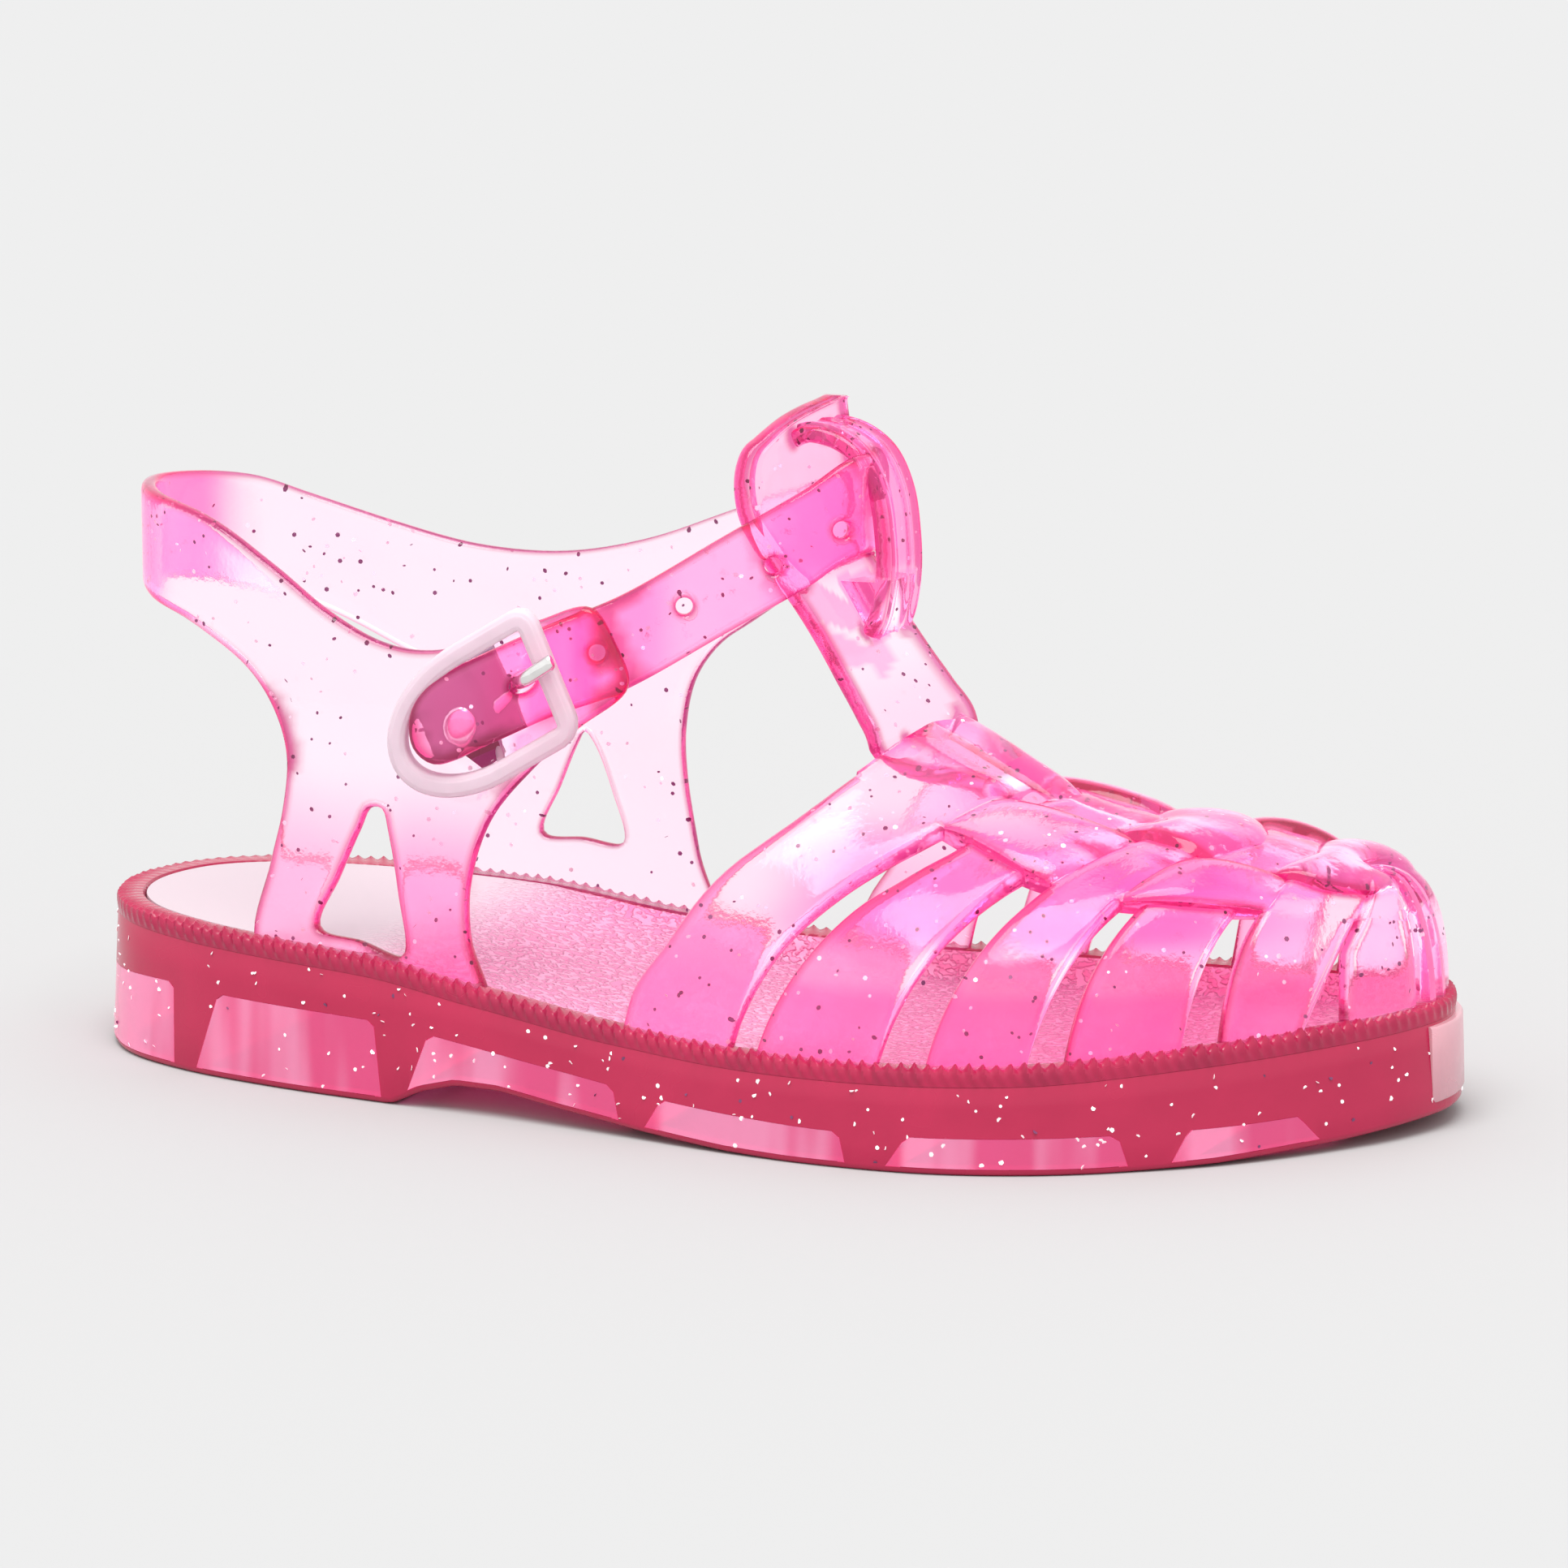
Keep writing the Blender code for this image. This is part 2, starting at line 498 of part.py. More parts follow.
def weave_relief(band, t, lane, u, station, across):
    """Height of the outer face over the wall: cross straps with lengthwise strips over every second one."""
    count = len(CROSS_STRAPS)
    on_strap = (band % 2 == 0) & (band < 2 * count) | (band == 2 * count)
    height = np.where(on_strap, CROWN * crown(t), -0.5)
    height = np.where(band == 2 * count + 2, CROWN, height)
    for index in range(3):
        for over in range(0 if index == 1 else 1, count, 2):
            begin, end = np.full(len(across), 70.0), np.full(len(across), TOE_TIP)
            if over:
                begin = strap_edge(over - 1, "front", across) - 1.2
            if over + 1 < count:
                end = strap_edge(over + 1, "rear", across) + 1.2
            place = np.clip((station - begin) / (end - begin), 0, 1)
            hump = WEAVE_RISE * np.sin(math.pi * place)**0.6 - WEAVE_SINK + CROWN * crown(u)
            here = (lane == 2 * index + 1) & (place > 0) & (place < 1)
            height = np.where(here, np.maximum(height, hump), height)
    return height


def weave_grid(strap_steps, side_steps, strip_steps, toe_steps):
    """Grid whose lines follow the edges of all straps and strips; gives places, offsets and open cells."""
    count = len(CROSS_STRAPS)
    bands, lanes = [], []
    for band in range(2 * count + 3):
        steps = (0.0, 1.0)
        if band % 2 == 0 and band <= 2 * count:
            steps = toe_steps if band == 2 * count else strap_steps
        bands += [(band, t) for t in steps[:-1]]
    bands.append((2 * count + 2, 1.0))
    for lane in range(7):
        steps = strip_steps if lane % 2 else (side_steps if lane in (0, 6) else (0.0, 1.0))
        steps = tuple(1 - v for v in steps[::-1]) if lane == 6 else steps
        lanes += [(lane, u) for u in steps[:-1]]
    lanes.append((6, 1.0))
    band, lane = np.meshgrid([b[0] for b in bands], [v[0] for v in lanes], indexing="ij")
    t, u = np.meshgrid([b[1] for b in bands], [v[1] for v in lanes], indexing="ij")
    shape = band.shape
    band, lane, t, u = band.ravel(), lane.ravel(), t.ravel(), u.ravel()
    across = np.linspace(-1, 1, shape[1])[None, :].repeat(shape[0], 0).ravel()
    pick = np.arange(len(band))
    for _ in range(8):
        lines = strap_lines(across)
        station = lines[band, pick] + (lines[band + 1, pick] - lines[band, pick]) * t
        rows = strip_lines(station)
        across = rows[lane, pick] + (rows[lane + 1, pick] - rows[lane, pick]) * u
    cells = []
    for i in range(shape[0] - 1):
        for j in range(shape[1] - 1):
            gap, side = bands[i][0], lanes[j][0] in (0, 6)
            corner = np.abs(across.reshape(shape)[i, j:j + 2]).mean()
            is_gap = gap % 2 == 1 and gap < 2 * count - 1 and side
            is_toe_gap = gap == 2 * count - 1 and side and corner > TOE_GAP_TOP
            is_slit = gap == 2 * count + 1 and side and corner > TOE_SLIT_TOP
            if not (is_gap or is_toe_gap or is_slit):
                a, b = i * shape[1] + j, (i + 1) * shape[1] + j
                cells.append((a, b, b + 1, a + 1))
    return band, t, lane, u, station, across, cells


def cage(name):
    """Woven forefoot as one wall with gaps, its strips raised."""
    band, t, lane, u, station, across, cells = weave_grid(STRAP_STEPS, SIDE_STEPS, STRIP_STEPS, TOE_STEPS)
    centre, normal = fore_surface(station, across), fore_normal(station, across)
    outer = centre + normal * (WALL / 2 + weave_relief(band, t, lane, u, station, across))[:, None]
    inner = centre - normal * (WALL / 2)
    triangles = [f for a, b, c, d in cells for f in ((a, b, c), (a, c, d))]
    verts, faces = thick_sheet(outer, inner, triangles, centre)
    return make_object(name, verts, faces, None)


# Ankle sheet
SHEET_DENSE = spline([[r[k] for k in range(4)] for r in SHEET_ROWS], 24, False)
SHEET_LENGTH = arc_lengths(SHEET_DENSE[:, 2:])
BACK_AT = int(np.argmin(SHEET_DENSE[:, 2]))
APEX_AT = int(np.argmax(np.where(np.arange(len(SHEET_DENSE)) > BACK_AT, SHEET_DENSE[:, 2], -1e9)))


def sheet_along(section, x):
    """Length along the ankle sheet at an x of one of its three sections."""
    lo, hi = ((0, BACK_AT), (BACK_AT, APEX_AT), (APEX_AT, len(SHEET_DENSE) - 1))[section]
    xs, ss = SHEET_DENSE[lo:hi + 1, 2], SHEET_LENGTH[lo:hi + 1]
    if section != MEDIAL:
        xs, ss = xs[::-1], ss[::-1]
    return float(np.interp(x, xs, ss))


def sheet_surface(along, z):
    lean = np.clip((z - LEAN_FROM) / (LEAN_TO - LEAN_FROM), 0, 1)
    lean = lean * lean * (3 - 2 * lean)
    at = [np.interp(along, SHEET_LENGTH, SHEET_DENSE[:, k]) for k in range(4)]
    return np.stack([at[0] + (at[2] - at[0]) * lean, at[1] + (at[3] - at[1]) * lean, z], 1)


def sheet_normal(along, z):
    t = sheet_surface(along + 0.8, z) - sheet_surface(along - 0.8, z)
    up = sheet_surface(along, z + 0.5) - sheet_surface(along, z - 0.5)
    n = np.cross(up, t)
    return n / np.linalg.norm(n, axis=1)[:, None]


def ankle_sheet(name):
    """Both quarters, heel band and long strap as one wall."""
    corners = []
    for section, x, z in SHEET_OUTLINE:
        corners.append((sheet_along(section, x), z if z is not None else rim_z(x) - FOOT_SINK))
    outline = spline(corners, 8, True)
    foot = [i for i, row in enumerate(SHEET_OUTLINE) if row[2] is None]
    pieces = []
    for i in range(len(corners)):
        j = (i + 1) % len(corners)
        a, b = np.array(corners[i]), np.array(corners[j])
        if i in foot and j in foot:
            xs = np.linspace(SHEET_OUTLINE[i][1], SHEET_OUTLINE[j][1], 9)[:-1]
            pieces.append(np.array([(sheet_along(SHEET_OUTLINE[i][0], x), rim_z(x) - FOOT_SINK) for x in xs]))
        else:
            pieces.append(outline[i * 8:(i + 1) * 8:4 if np.hypot(*(b - a)) > 4 else 8])
    outline = np.vstack(pieces)
    holes = []
    for section, points in SHEET_WINDOWS:
        holes.append(spline([(sheet_along(section, x), z) for x, z in points], 2, True))
    for x, z in STRAP_HOLES:
        middle = np.array((sheet_along(NEAR, x), z))
        turn = np.linspace(0, 2 * math.pi, 9)[:-1]
        holes.append(middle + HOLE_RADIUS * np.stack([np.cos(turn), np.sin(turn)], 1))
    x, z, long, short, slope = USED_HOLE
    turn = np.linspace(0, 2 * math.pi, 13)[:-1]
    c, d = math.cos(math.radians(slope)), math.sin(math.radians(slope))
    oval = np.stack([long * np.cos(turn), short * np.sin(turn)], 1) @ np.array([[c, d], [-d, c]])
    holes.append(np.array((sheet_along(NEAR, x), z)) + oval)
    lengths = np.arange(outline[:, 0].min(), outline[:, 0].max(), 4.2)
    u, z = np.meshgrid(lengths, np.arange(10, 80, 4.2), indexing="ij")
    z = z + 2.1 * (np.arange(len(u)) % 2)[:, None]
    extra = np.stack([u.ravel(), z.ravel()], 1)
    triangles, origin, kept = sheet_triangles(outline, holes, extra, 1.9)
    flat = np.vstack([outline] + holes + [extra[kept]])[origin]
    centre, normal = sheet_surface(flat[:, 0], flat[:, 1]), sheet_normal(flat[:, 0], flat[:, 1])
    verts, faces = thick_sheet(centre + normal * WALL / 2, centre - normal * WALL / 2, triangles, centre)
    return make_object(name, verts, faces, None)


def ribbon(name, centres, halves, wide, thick, rounded):
    """Strap with a crowned face along a line of centres; wide holds the direction of its width."""
    tangent = np.gradient(centres, axis=0)
    tangent /= np.linalg.norm(tangent, axis=1)[:, None]
    wide = wide - tangent * np.sum(wide * tangent, 1)[:, None]
    wide /= np.linalg.norm(wide, axis=1)[:, None]
    face = np.cross(wide, tangent)
    shape = [(-1.0, -1), (-1.0, 1 - rounded), (-0.72, 1 - rounded * 0.25), (0.0, 1), (0.72, 1 - rounded * 0.25),
             (1.0, 1 - rounded), (1.0, -1), (0.0, -1)]
    sections = []
    for c, h, w, n in zip(centres, halves, wide, face):
        sections.append(np.array([c + w * h * x + n * thick / 2 * y for x, y in shape]))
    verts, faces = ring_of_sections(sections, False)
    return make_object(name, verts, faces, None)


def tbar(name):
    rows = spline(TBAR_ROWS, 2, False)
    turn = np.radians(rows[:, 4])
    wide = np.stack([np.sin(turn), np.cos(turn), np.zeros(len(turn))], 1)
    return ribbon(name, rows[:, :3], rows[:, 3], wide, WALL + 0.3, 0.6)


def loop_front(name):
    rows = spline(LOOP_ROWS, 3, False)
    wide = np.tile([0.12, 1.0, 0.0], (len(rows), 1))
    return ribbon(name, rows, np.full(len(rows), RING_FRONT_HALF), wide, WALL - 0.1, 0.5)


def welt(name):
    """Ring under all strap feet, along the rim."""
    levels = []
    profile = ((0.0, WELT_HEIGHT), (0.0, 0.35), (0.35, 0.0), (WELT_WIDTH, 0.0), (WELT_WIDTH, WELT_HEIGHT))
    for distance, drop in profile:
        levels.append(sole_loop(distance, lambda x: rim_z(x) - drop))
    sections = [np.array([level[i] for level in levels]) for i in range(len(levels[0]))]
    verts, faces = ring_of_sections(sections, True)
    return make_object(name, verts, faces, None)


def upper():
    body = welt("upper")
    for piece in (cage("cage"), tbar("tbar"), loop_front("loop"), ankle_sheet("ankle")):
        boolean(body, piece, "UNION")
    clean(body, 0.004)
    body.data.materials.clear()
    body.data.materials.append(material("jelly_pink", (0.93, 0.36, 0.62), 0.15, 0.0, 0.8))
    return body


def ledge_z(x):
    return rim_z(x) - WELT_HEIGHT - SEAT


def bed_z(x):
    return rim_z(x) - smooth(FOOTBED_DEPTH, x)


def floor_z(x):
    return bed_z(x) - INSOLE_THICK - SEAT - 0.3


def ground_z(x):
    return np.interp(x, [r[0] for r in GROUND_HEIGHT], [r[1] for r in GROUND_HEIGHT])


def sole():
    levels = [sole_loop(EDGE_ROUND - SOLE_FLARE, ground_z),
              sole_loop(-SOLE_FLARE, lambda x: ground_z(x) + EDGE_ROUND),
              sole_loop(0.0, ledge_z),
              sole_loop(WELT_WIDTH - 0.1, ledge_z),
              sole_loop(WELT_WIDTH, floor_z)]
    verts, faces = stack_of_loops(levels)
    body = make_object("sole", verts, faces, None)
    lat, med = side_paths(SKIRT)
    for start, end, roof in POCKETS:
        rings = []
        for z, draft in ((-4.0, 0.0), (roof, 1.4)):
            xs = np.linspace(start + draft, end - draft, 9)
            low = np.stack([xs, np.interp(xs, lat[:, 0], lat[:, 1]) + draft * 0.4], 1)
            high = np.stack([xs, np.interp(xs, med[:, 0], med[:, 1]) - draft * 0.4], 1)
            flat = np.vstack([low, high[::-1]])
            rings.append(np.column_stack([flat, np.full(len(flat), z)]))
        pocket_verts, pocket_faces = ring_of_sections(rings, False)
        boolean(body, make_object("pocket", pocket_verts, pocket_faces, None), "DIFFERENCE")
    clean(body, 0.01)
    body.data.materials.clear()
    body.data.materials.append(material("jelly_crimson", (0.72, 0.10, 0.25), 0.2, 0.0, 0.6))
    return body


def insole():
    edge = WELT_WIDTH + SEAT
    levels = [sole_loop(edge, lambda x: floor_z(x) + SEAT), sole_loop(edge, lambda x: bed_z(x) - 0.4),
              sole_loop(edge + 0.5, bed_z)]
    verts, faces = stack_of_loops(levels)
    return make_object("insole", verts, faces, material("footbed_pale", (0.90, 0.62, 0.72), 0.45, 0.0, 0.2))


def buckle_axes():
    top, low, far = np.array(BUCKLE_TOP), np.array(BUCKLE_LOW), np.array(BUCKLE_ROUND)
    flat = (top + low) / 2
    side = (top - low) / np.linalg.norm(top - low)
    along = far - flat
    along -= side * (along @ side)
    length = np.linalg.norm(along)
    along /= length
    face = np.cross(side, along)
    if face[1] > 0:
        face = -face
    return flat, along, side, face, length


def buckle_frame():
    """D-shaped frame with a bar across it."""
    flat, along, side, face, length = buckle_axes()
    half, bar = BUCKLE_HALF - BUCKLE_BAR, BUCKLE_BAR
    path = [(bar, -half), (bar, 0.0), (bar, half)]
    for turn in np.linspace(0, math.pi, 13):
        start = length * 0.46
        path.append((start + (length - bar - start) * math.sin(turn), half * math.cos(turn)))
    path = np.array(path)
    sections = []
    total = len(path)
    for i, p in enumerate(path):
        d = path[(i + 1) % total] - path[i - 1]
        d /= np.linalg.norm(d)
        out = np.array([d[1], -d[0]])
        corner = 1.25 if i in (0, 2) else 1.0
        ring = []
        for x, y in ((-1, -0.6), (-0.6, -1), (0.6, -1), (1, -0.6), (1, 0.6), (0.6, 1), (-0.6, 1), (-1, 0.6)):
            q = p + out * bar * x * corner
            ring.append(flat + along * q[0] + side * q[1] + face * BUCKLE_THICK * y)
        sections.append(np.array(ring))
    verts, faces = ring_of_sections(sections, True)
    body = make_object("buckle_frame", verts, faces, None)
    at = length * CROSSBAR_AT
    rings = []
    for end in (-half, half):
        ring = []
        for turn in np.linspace(0, 2 * math.pi, 9)[:-1]:
            place, lift = at + CROSSBAR_RADIUS * math.cos(turn), CROSSBAR_RADIUS * math.sin(turn) - CROSSBAR_DROP
            ring.append(flat + along * place + side * end + face * lift)
        rings.append(np.array(ring))
    bar_verts, bar_faces = ring_of_sections(rings, False)
    boolean(body, make_object("crossbar", bar_verts, bar_faces, None), "UNION")
    clean(body, 0.01)
    body.data.materials.clear()
    body.data.materials.append(material("buckle_frosted", (0.86, 0.76, 0.82), 0.35, 0.0, 0.5))
    return body


def buckle_prong():
    """Metal wire from the crossbar through the strap to the flat bar."""
    flat, along, side, face, length = buckle_axes()
    at = length * CROSSBAR_AT
    lift = BUCKLE_THICK + PRONG_RADIUS + SEAT
    start = at - CROSSBAR_RADIUS - SEAT - 0.2
    path = [(start, -1.95), (start - 1.5, -2.0), (start - 3.9, -0.9), (start - 6.2, 1.0),
            (start - 7.8, lift + 0.1), (1.4, lift + 0.2), (0.0, lift)]
    path = spline(path, 3, False)
    sections = []
    for i, p in enumerate(path):
        d = path[min(i + 1, len(path) - 1)] - path[max(i - 1, 0)]
        d /= np.linalg.norm(d)
        up = along * -d[1] + face * d[0]
        slim = 0.75 if i in (0, len(path) - 1) else 1.0
        middle = flat + along * p[0] + face * p[1]
        ring = []
        for turn in np.linspace(0, 2 * math.pi, 9)[:-1]:
            ring.append(middle + (side * math.cos(turn) + up * math.sin(turn)) * PRONG_RADIUS * slim)
        sections.append(np.array(ring))
    verts, faces = ring_of_sections(sections, False)
    steel = material("prong_steel", (0.75, 0.74, 0.76), 0.25, 1.0, 0.0)
    return make_object("buckle_prong", verts, faces, steel)


PARTS = [sole(), insole(), upper(), buckle_frame(), buckle_prong()]
CLOUD = np.vstack([np.array([v.co for v in part.data.vertices]) for part in PARTS])
LOW, HIGH = CLOUD.min(0), CLOUD.max(0)
SHIFT = Vector(((LOW[0] + HIGH[0]) / 2, (LOW[1] + HIGH[1]) / 2, LOW[2]))
for part in PARTS:
    for vertex in part.data.vertices:
        vertex.co = (vertex.co - SHIFT) * MM
    part.data.update()
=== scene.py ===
"""Looks of a child's translucent pink glitter jelly sandal, laid out as an add-on and run as a script."""
import math

import bmesh
import bpy
import numpy as np
from bpy.props import FloatProperty, FloatVectorProperty, IntProperty, PointerProperty
from bpy.types import Operator, Panel, PropertyGroup
from mathutils import Matrix, Vector
from mathutils.geometry import delaunay_2d_cdt
from mathutils.kdtree import KDTree


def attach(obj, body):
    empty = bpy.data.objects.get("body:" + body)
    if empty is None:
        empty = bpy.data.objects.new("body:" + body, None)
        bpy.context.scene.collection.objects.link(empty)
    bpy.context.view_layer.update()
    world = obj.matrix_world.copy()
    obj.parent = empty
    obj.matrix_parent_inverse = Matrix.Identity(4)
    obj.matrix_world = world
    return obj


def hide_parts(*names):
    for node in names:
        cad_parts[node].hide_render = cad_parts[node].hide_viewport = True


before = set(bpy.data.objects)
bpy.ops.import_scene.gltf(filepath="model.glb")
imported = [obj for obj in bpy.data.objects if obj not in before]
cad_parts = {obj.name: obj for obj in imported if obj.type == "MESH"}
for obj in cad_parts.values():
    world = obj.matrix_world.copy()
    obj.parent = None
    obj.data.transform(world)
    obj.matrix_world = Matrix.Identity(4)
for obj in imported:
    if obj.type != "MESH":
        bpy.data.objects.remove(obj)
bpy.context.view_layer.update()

bl_info = {
    "name": "Jelly sandal looks",
    "version": (1, 0, 0),
    "blender": (4, 5, 0),
    "location": "View3D > Sidebar > Jelly sandal",
    "description": "Builds the moulded pieces, glitter, buckle and stage of a translucent jelly sandal",
    "category": "Object",
}

# Shapes are worked out in millimetres with the heel tip at x = 0, the toe along +X and the ground at z = 0
MM = 0.001
FRAME_SHIFT = np.array((82.82321, -2.05895, 0.0))

# Rim of the sole from above: x, y from the back of the heel along the lateral side
RIM_POINTS = (
    (0.0, -4.0), (2.2, -13.0), (8.0, -20.0), (18.0, -25.0), (32.0, -28.2), (48.0, -29.9), (64.0, -31.0),
    (80.0, -33.0), (96.0, -35.3), (110.0, -36.0), (122.0, -34.6), (133.0, -30.3), (142.0, -24.2),
    (150.5, -16.5), (158.5, -6.0), (163.9, 4.0), (165.6, 13.0), (162.0, 22.5), (155.5, 27.8),
    (145.0, 30.6), (128.0, 31.9), (110.0, 31.0), (94.0, 28.2), (78.0, 24.7), (62.0, 21.6), (50.0, 20.5),
    (36.0, 19.8), (22.0, 18.0), (9.5, 13.2), (2.4, 6.0))

# Height profiles along the foot: x, z
RIM_HEIGHT = ((0, 18.4), (25, 17.7), (45, 17.0), (60, 15.0), (80, 12.8), (100, 12.0), (130, 12.4),
              (150, 13.8), (166, 14.9))
GROUND_HEIGHT = ((0, 0.6), (6, 0.0), (49, 0.0), (53, 1.9), (58, 3.2), (64, 3.2), (72, 2.2), (84, 1.0),
                 (96, 0.2), (104, 0.0), (140, 0.0), (150, 0.3), (160, 1.2), (166, 2.0))
FOOTBED_DEPTH = ((0, 0.2), (44, 0.2), (62, 1.8), (80, 3.4), (150, 3.4), (166, 2.8))
SKIRT_TOP = ((0, 9.6), (16, 10.5), (24, 10.2), (46, 9.8), (54, 9.0), (66, 7.5), (80, 6.0), (87, 5.2),
             (111, 4.3), (150, 4.6), (166, 5.4))

# Pockets between the ribs, open underneath: x from and to at the ground, x from and to at the roof
POCKETS = ((4.0, 16.8, 4.4, 16.4), (20.5, 47.9, 23.8, 46.6), (51.6, 81.2, 54.2, 80.2),
           (84.9, 111.9, 86.8, 111.0), (116.9, 142.3, 118.9, 141.3), (146.3, 158.5, 147.6, 157.0))
POCKET_RELIEF = 0.35
# Bar under the windows of the wall, their corners, and where the first one starts behind the heel
WINDOW_BAR = 0.8
WINDOW_CORNER = 0.7
WINDOW_BEHIND = -6.0

# Sole and welt
SEAT = 0.3
STRAP_INSET = 2.2
BED_EDGE = 3.35
WELT_HEIGHT = 1.8
FOOT_SINK = 2.0
SOLE_FLARE = 0.8
SOLE_ROUND = 0.8
SKIRT = 2.1
PANE_GAP = 0.05
BUMPER_FROM, BUMPER_TO = (165.0, 8.3), (161.2, 23.4)
BUMPER_PROUD = 0.9
INSOLE_THICK = 1.6
# Slope from the footbed's border down to its floor: distance inwards, share of the way down
BED_SLOPE = ((0.15, 0.0), (0.5, 0.08), (1.1, 0.30), (1.7, 0.60), (2.2, 0.83), (2.7, 0.96), (3.2, 1.0))
LOOP_STATIONS = 150

# Knurled edge of the welt: distance inside the rim, drop below it, tooth share outwards and upwards
KNURL_COLUMNS = ("inside", "drop", "out", "up")
KNURL_ROWS = (
    (0.0, 2.07, 0.0, 0.0), (0.0, 1.9, 0.1, 0.0), (0.0, 1.5, 0.35, 0.0), (0.0, 1.1, 0.55, 0.1),
    (0.0, 0.7, 0.6, 0.4), (0.1, 0.35, 0.5, 0.9), (0.4, 0.2, 0.2, 1.3), (0.9, 0.2, 0.0, 1.0),
    (1.5, 0.15, 0.0, 0.55), (2.2, 0.1, 0.0, 0.25), (3.0, 0.15, 0.0, 0.1), (3.3, 0.5, 0.0, 0.0),
    (3.3, 2.06, 0.0, 0.0), (1.8, 2.06, 0.0, 0.0))

# Forefoot surface: lateral rim x, medial rim x, crest x, crest y, crest z
FORE_COLUMNS = ("lateral", "medial", "crest_x", "crest_y", "crest_z")
FORE_ROWS = (
    (70.0, 74.0, 98.0, 0.0, 48.5), (80.5, 82.5, 106.0, -0.3, 44.8), (88.0, 90.0, 112.5, -1.0, 42.0),
    (96.0, 97.0, 119.0, -1.5, 39.2), (106.5, 107.0, 126.5, -1.5, 36.6), (116.5, 115.5, 133.0, -1.0, 35.0),
    (125.5, 123.0, 138.8, 0.2, 34.1), (133.0, 130.0, 143.5, 1.6, 33.6), (140.0, 137.0, 147.5, 3.0, 32.5),
    (147.0, 144.5, 151.0, 4.6, 31.2), (153.0, 151.0, 153.6, 6.0, 30.3), (158.5, 157.0, 155.4, 7.4, 29.7),
    (163.4, 163.4, 156.4, 9.0, 29.3))

# Cross straps by lateral rim station: rear edge at the lateral foot, crest, medial foot; front edge likewise
CROSS_COLUMNS = ("rear_lat", "rear_top", "rear_med", "front_lat", "front_top", "front_med")
CROSS_STRAPS = (
    (80.2, 84.5, 81.5, 95.2, 107.0, 96.0),
    (98.6, 109.0, 101.5, 114.0, 121.0, 111.0),
    (119.8, 125.0, 117.5, 130.7, 137.0, 128.0),
    (134.6, 138.2, 133.0, 145.4, 149.1, 143.0),
    (148.8, 150.9, 147.0, 155.1, 162.3, 154.0))
# Shifts of single edges along the foot: strap and end, then place across (0 at the crest) and shift
EDGE_SHIFTS = {
    (0, "rear"): ((0, -0.6), (0.07, -0.9), (0.14, 0.9), (0.21, 2.7), (0.28, 4.0), (0.35, 4.9), (0.42, 5.3),
                  (0.49, 5.1), (0.56, 4.5), (0.63, 4.0), (0.77, 3.1), (0.91, 0.5), (1.0, 0)),
    (0, "front"): ((0, -6.0), (0.07, -5.5), (0.14, -4.3), (0.21, -2.8), (0.28, -1.7), (0.35, -1.1),
                   (0.45, -0.9), (0.56, -1.0), (0.7, -1.3), (0.9, -1.0), (1.0, -0.3)),
    (1, "rear"): ((0, -5.2), (0.07, -4.6), (0.14, -3.2), (0.21, -1.3), (0.28, 0.3), (0.35, 0.9), (0.45, 0.8),
                  (0.56, 0), (0.9, -0.5), (1.0, -0.3))}
TOE_STRAP_REAR = 158.5
TOE_SLIT = (163.05, 163.25)
TOE_TIP = 163.4
TOE_GAP_TOP = 0.64
TOE_SLIT_TOP = 0.80

# Lengthwise strips: station, lower and upper edge of the outer ones, both edges of the middle one
WEAVE_COLUMNS = ("station", "low", "high", "mid_lateral", "mid_medial")
WEAVE_ROWS = (
    (82.0, 0.22, 0.12, -0.050, 0.09), (104.0, 0.27, 0.10, -0.050, 0.08), (122.0, 0.36, 0.12, -0.095, 0.095),
    (137.0, 0.43, 0.18, -0.155, 0.14), (150.0, 0.43, 0.21, -0.185, 0.17),
    (158.0, 0.50, 0.34, -0.315, 0.30), (163.4, 0.54, 0.38, -0.355, 0.355))
STRAP_CELLS, GAP_CELLS, SIDE_CELLS, LANE_CELLS, TOE_CELLS = 16, 4, 40, 2, 10
# Flatness of a strap's top and of the hump over a strap; depth of the wall between straps
CROWN_POWER, HUMP_POWER, GAP_SINK = 7, 0.45, 0.5
# Step of the weave that counts as an edge; share of the wall's thickness left at an edge
EDGE_STEP = 0.5
EDGE_FLAT = 0.22
# Distances from an edge where its tint is full and where it ends; most of that tint on the loop's web
TINT_FULL, TINT_NONE = 0.45, 1.25
WEB_TINT = 0.3
# Depth of the pink: near legs and heel band; cage at its start, its gain from the second strap on,
# over the pale band and under it; ankle strap where single, gain where double; lobe and loop
LEG_PINK, HEEL_PINK = 0.66, 1.0
CAGE_PINK, CAGE_GAIN, HIGH_PINK, LOW_PINK = 0.10, 0.14, 0.76, 0.62
STRAP_PINK, DOUBLE_PINK, LOBE_PINK, LOOP_PINK = 0.64, 0.26, 0.42, 0.45
# Where each of these begins and where it is full, along one axis
NEAR_Y = (2, -9)
LEG_Z, LEG_X, FRONT_LEG_X = (40, 26), (84, 78), (43, 50)
HEEL_X, HEEL_Z, HEEL_Y = (14, 7), (50, 54), (8, 2)
FRONT_X, TOE_X, CAGE_X, CAGE_Z = (94, 108), (144, 156), (74, 84), (54, 48)
REAR_LOW_Z, FRONT_LOW_Z, BAND_FOOT_Z, BAND_HEAD_Z = (30, 18), (21.4, 19.2), (23.5, 26.5), (38, 33)
DOUBLE_FRONT_X, DOUBLE_REAR_X, DOUBLE_LOOP_X = (80, 76), (58, 62), (87, 90)
LOBE_Z, LOBE_X, LOOP_X = (60, 64), (80, 82), (88.5, 95)
LOBE_REACH = 12
# Strap's half thickness in plan, lowest z, x from and to
STRAP_REACH = (1.75, 41, 42, 99)

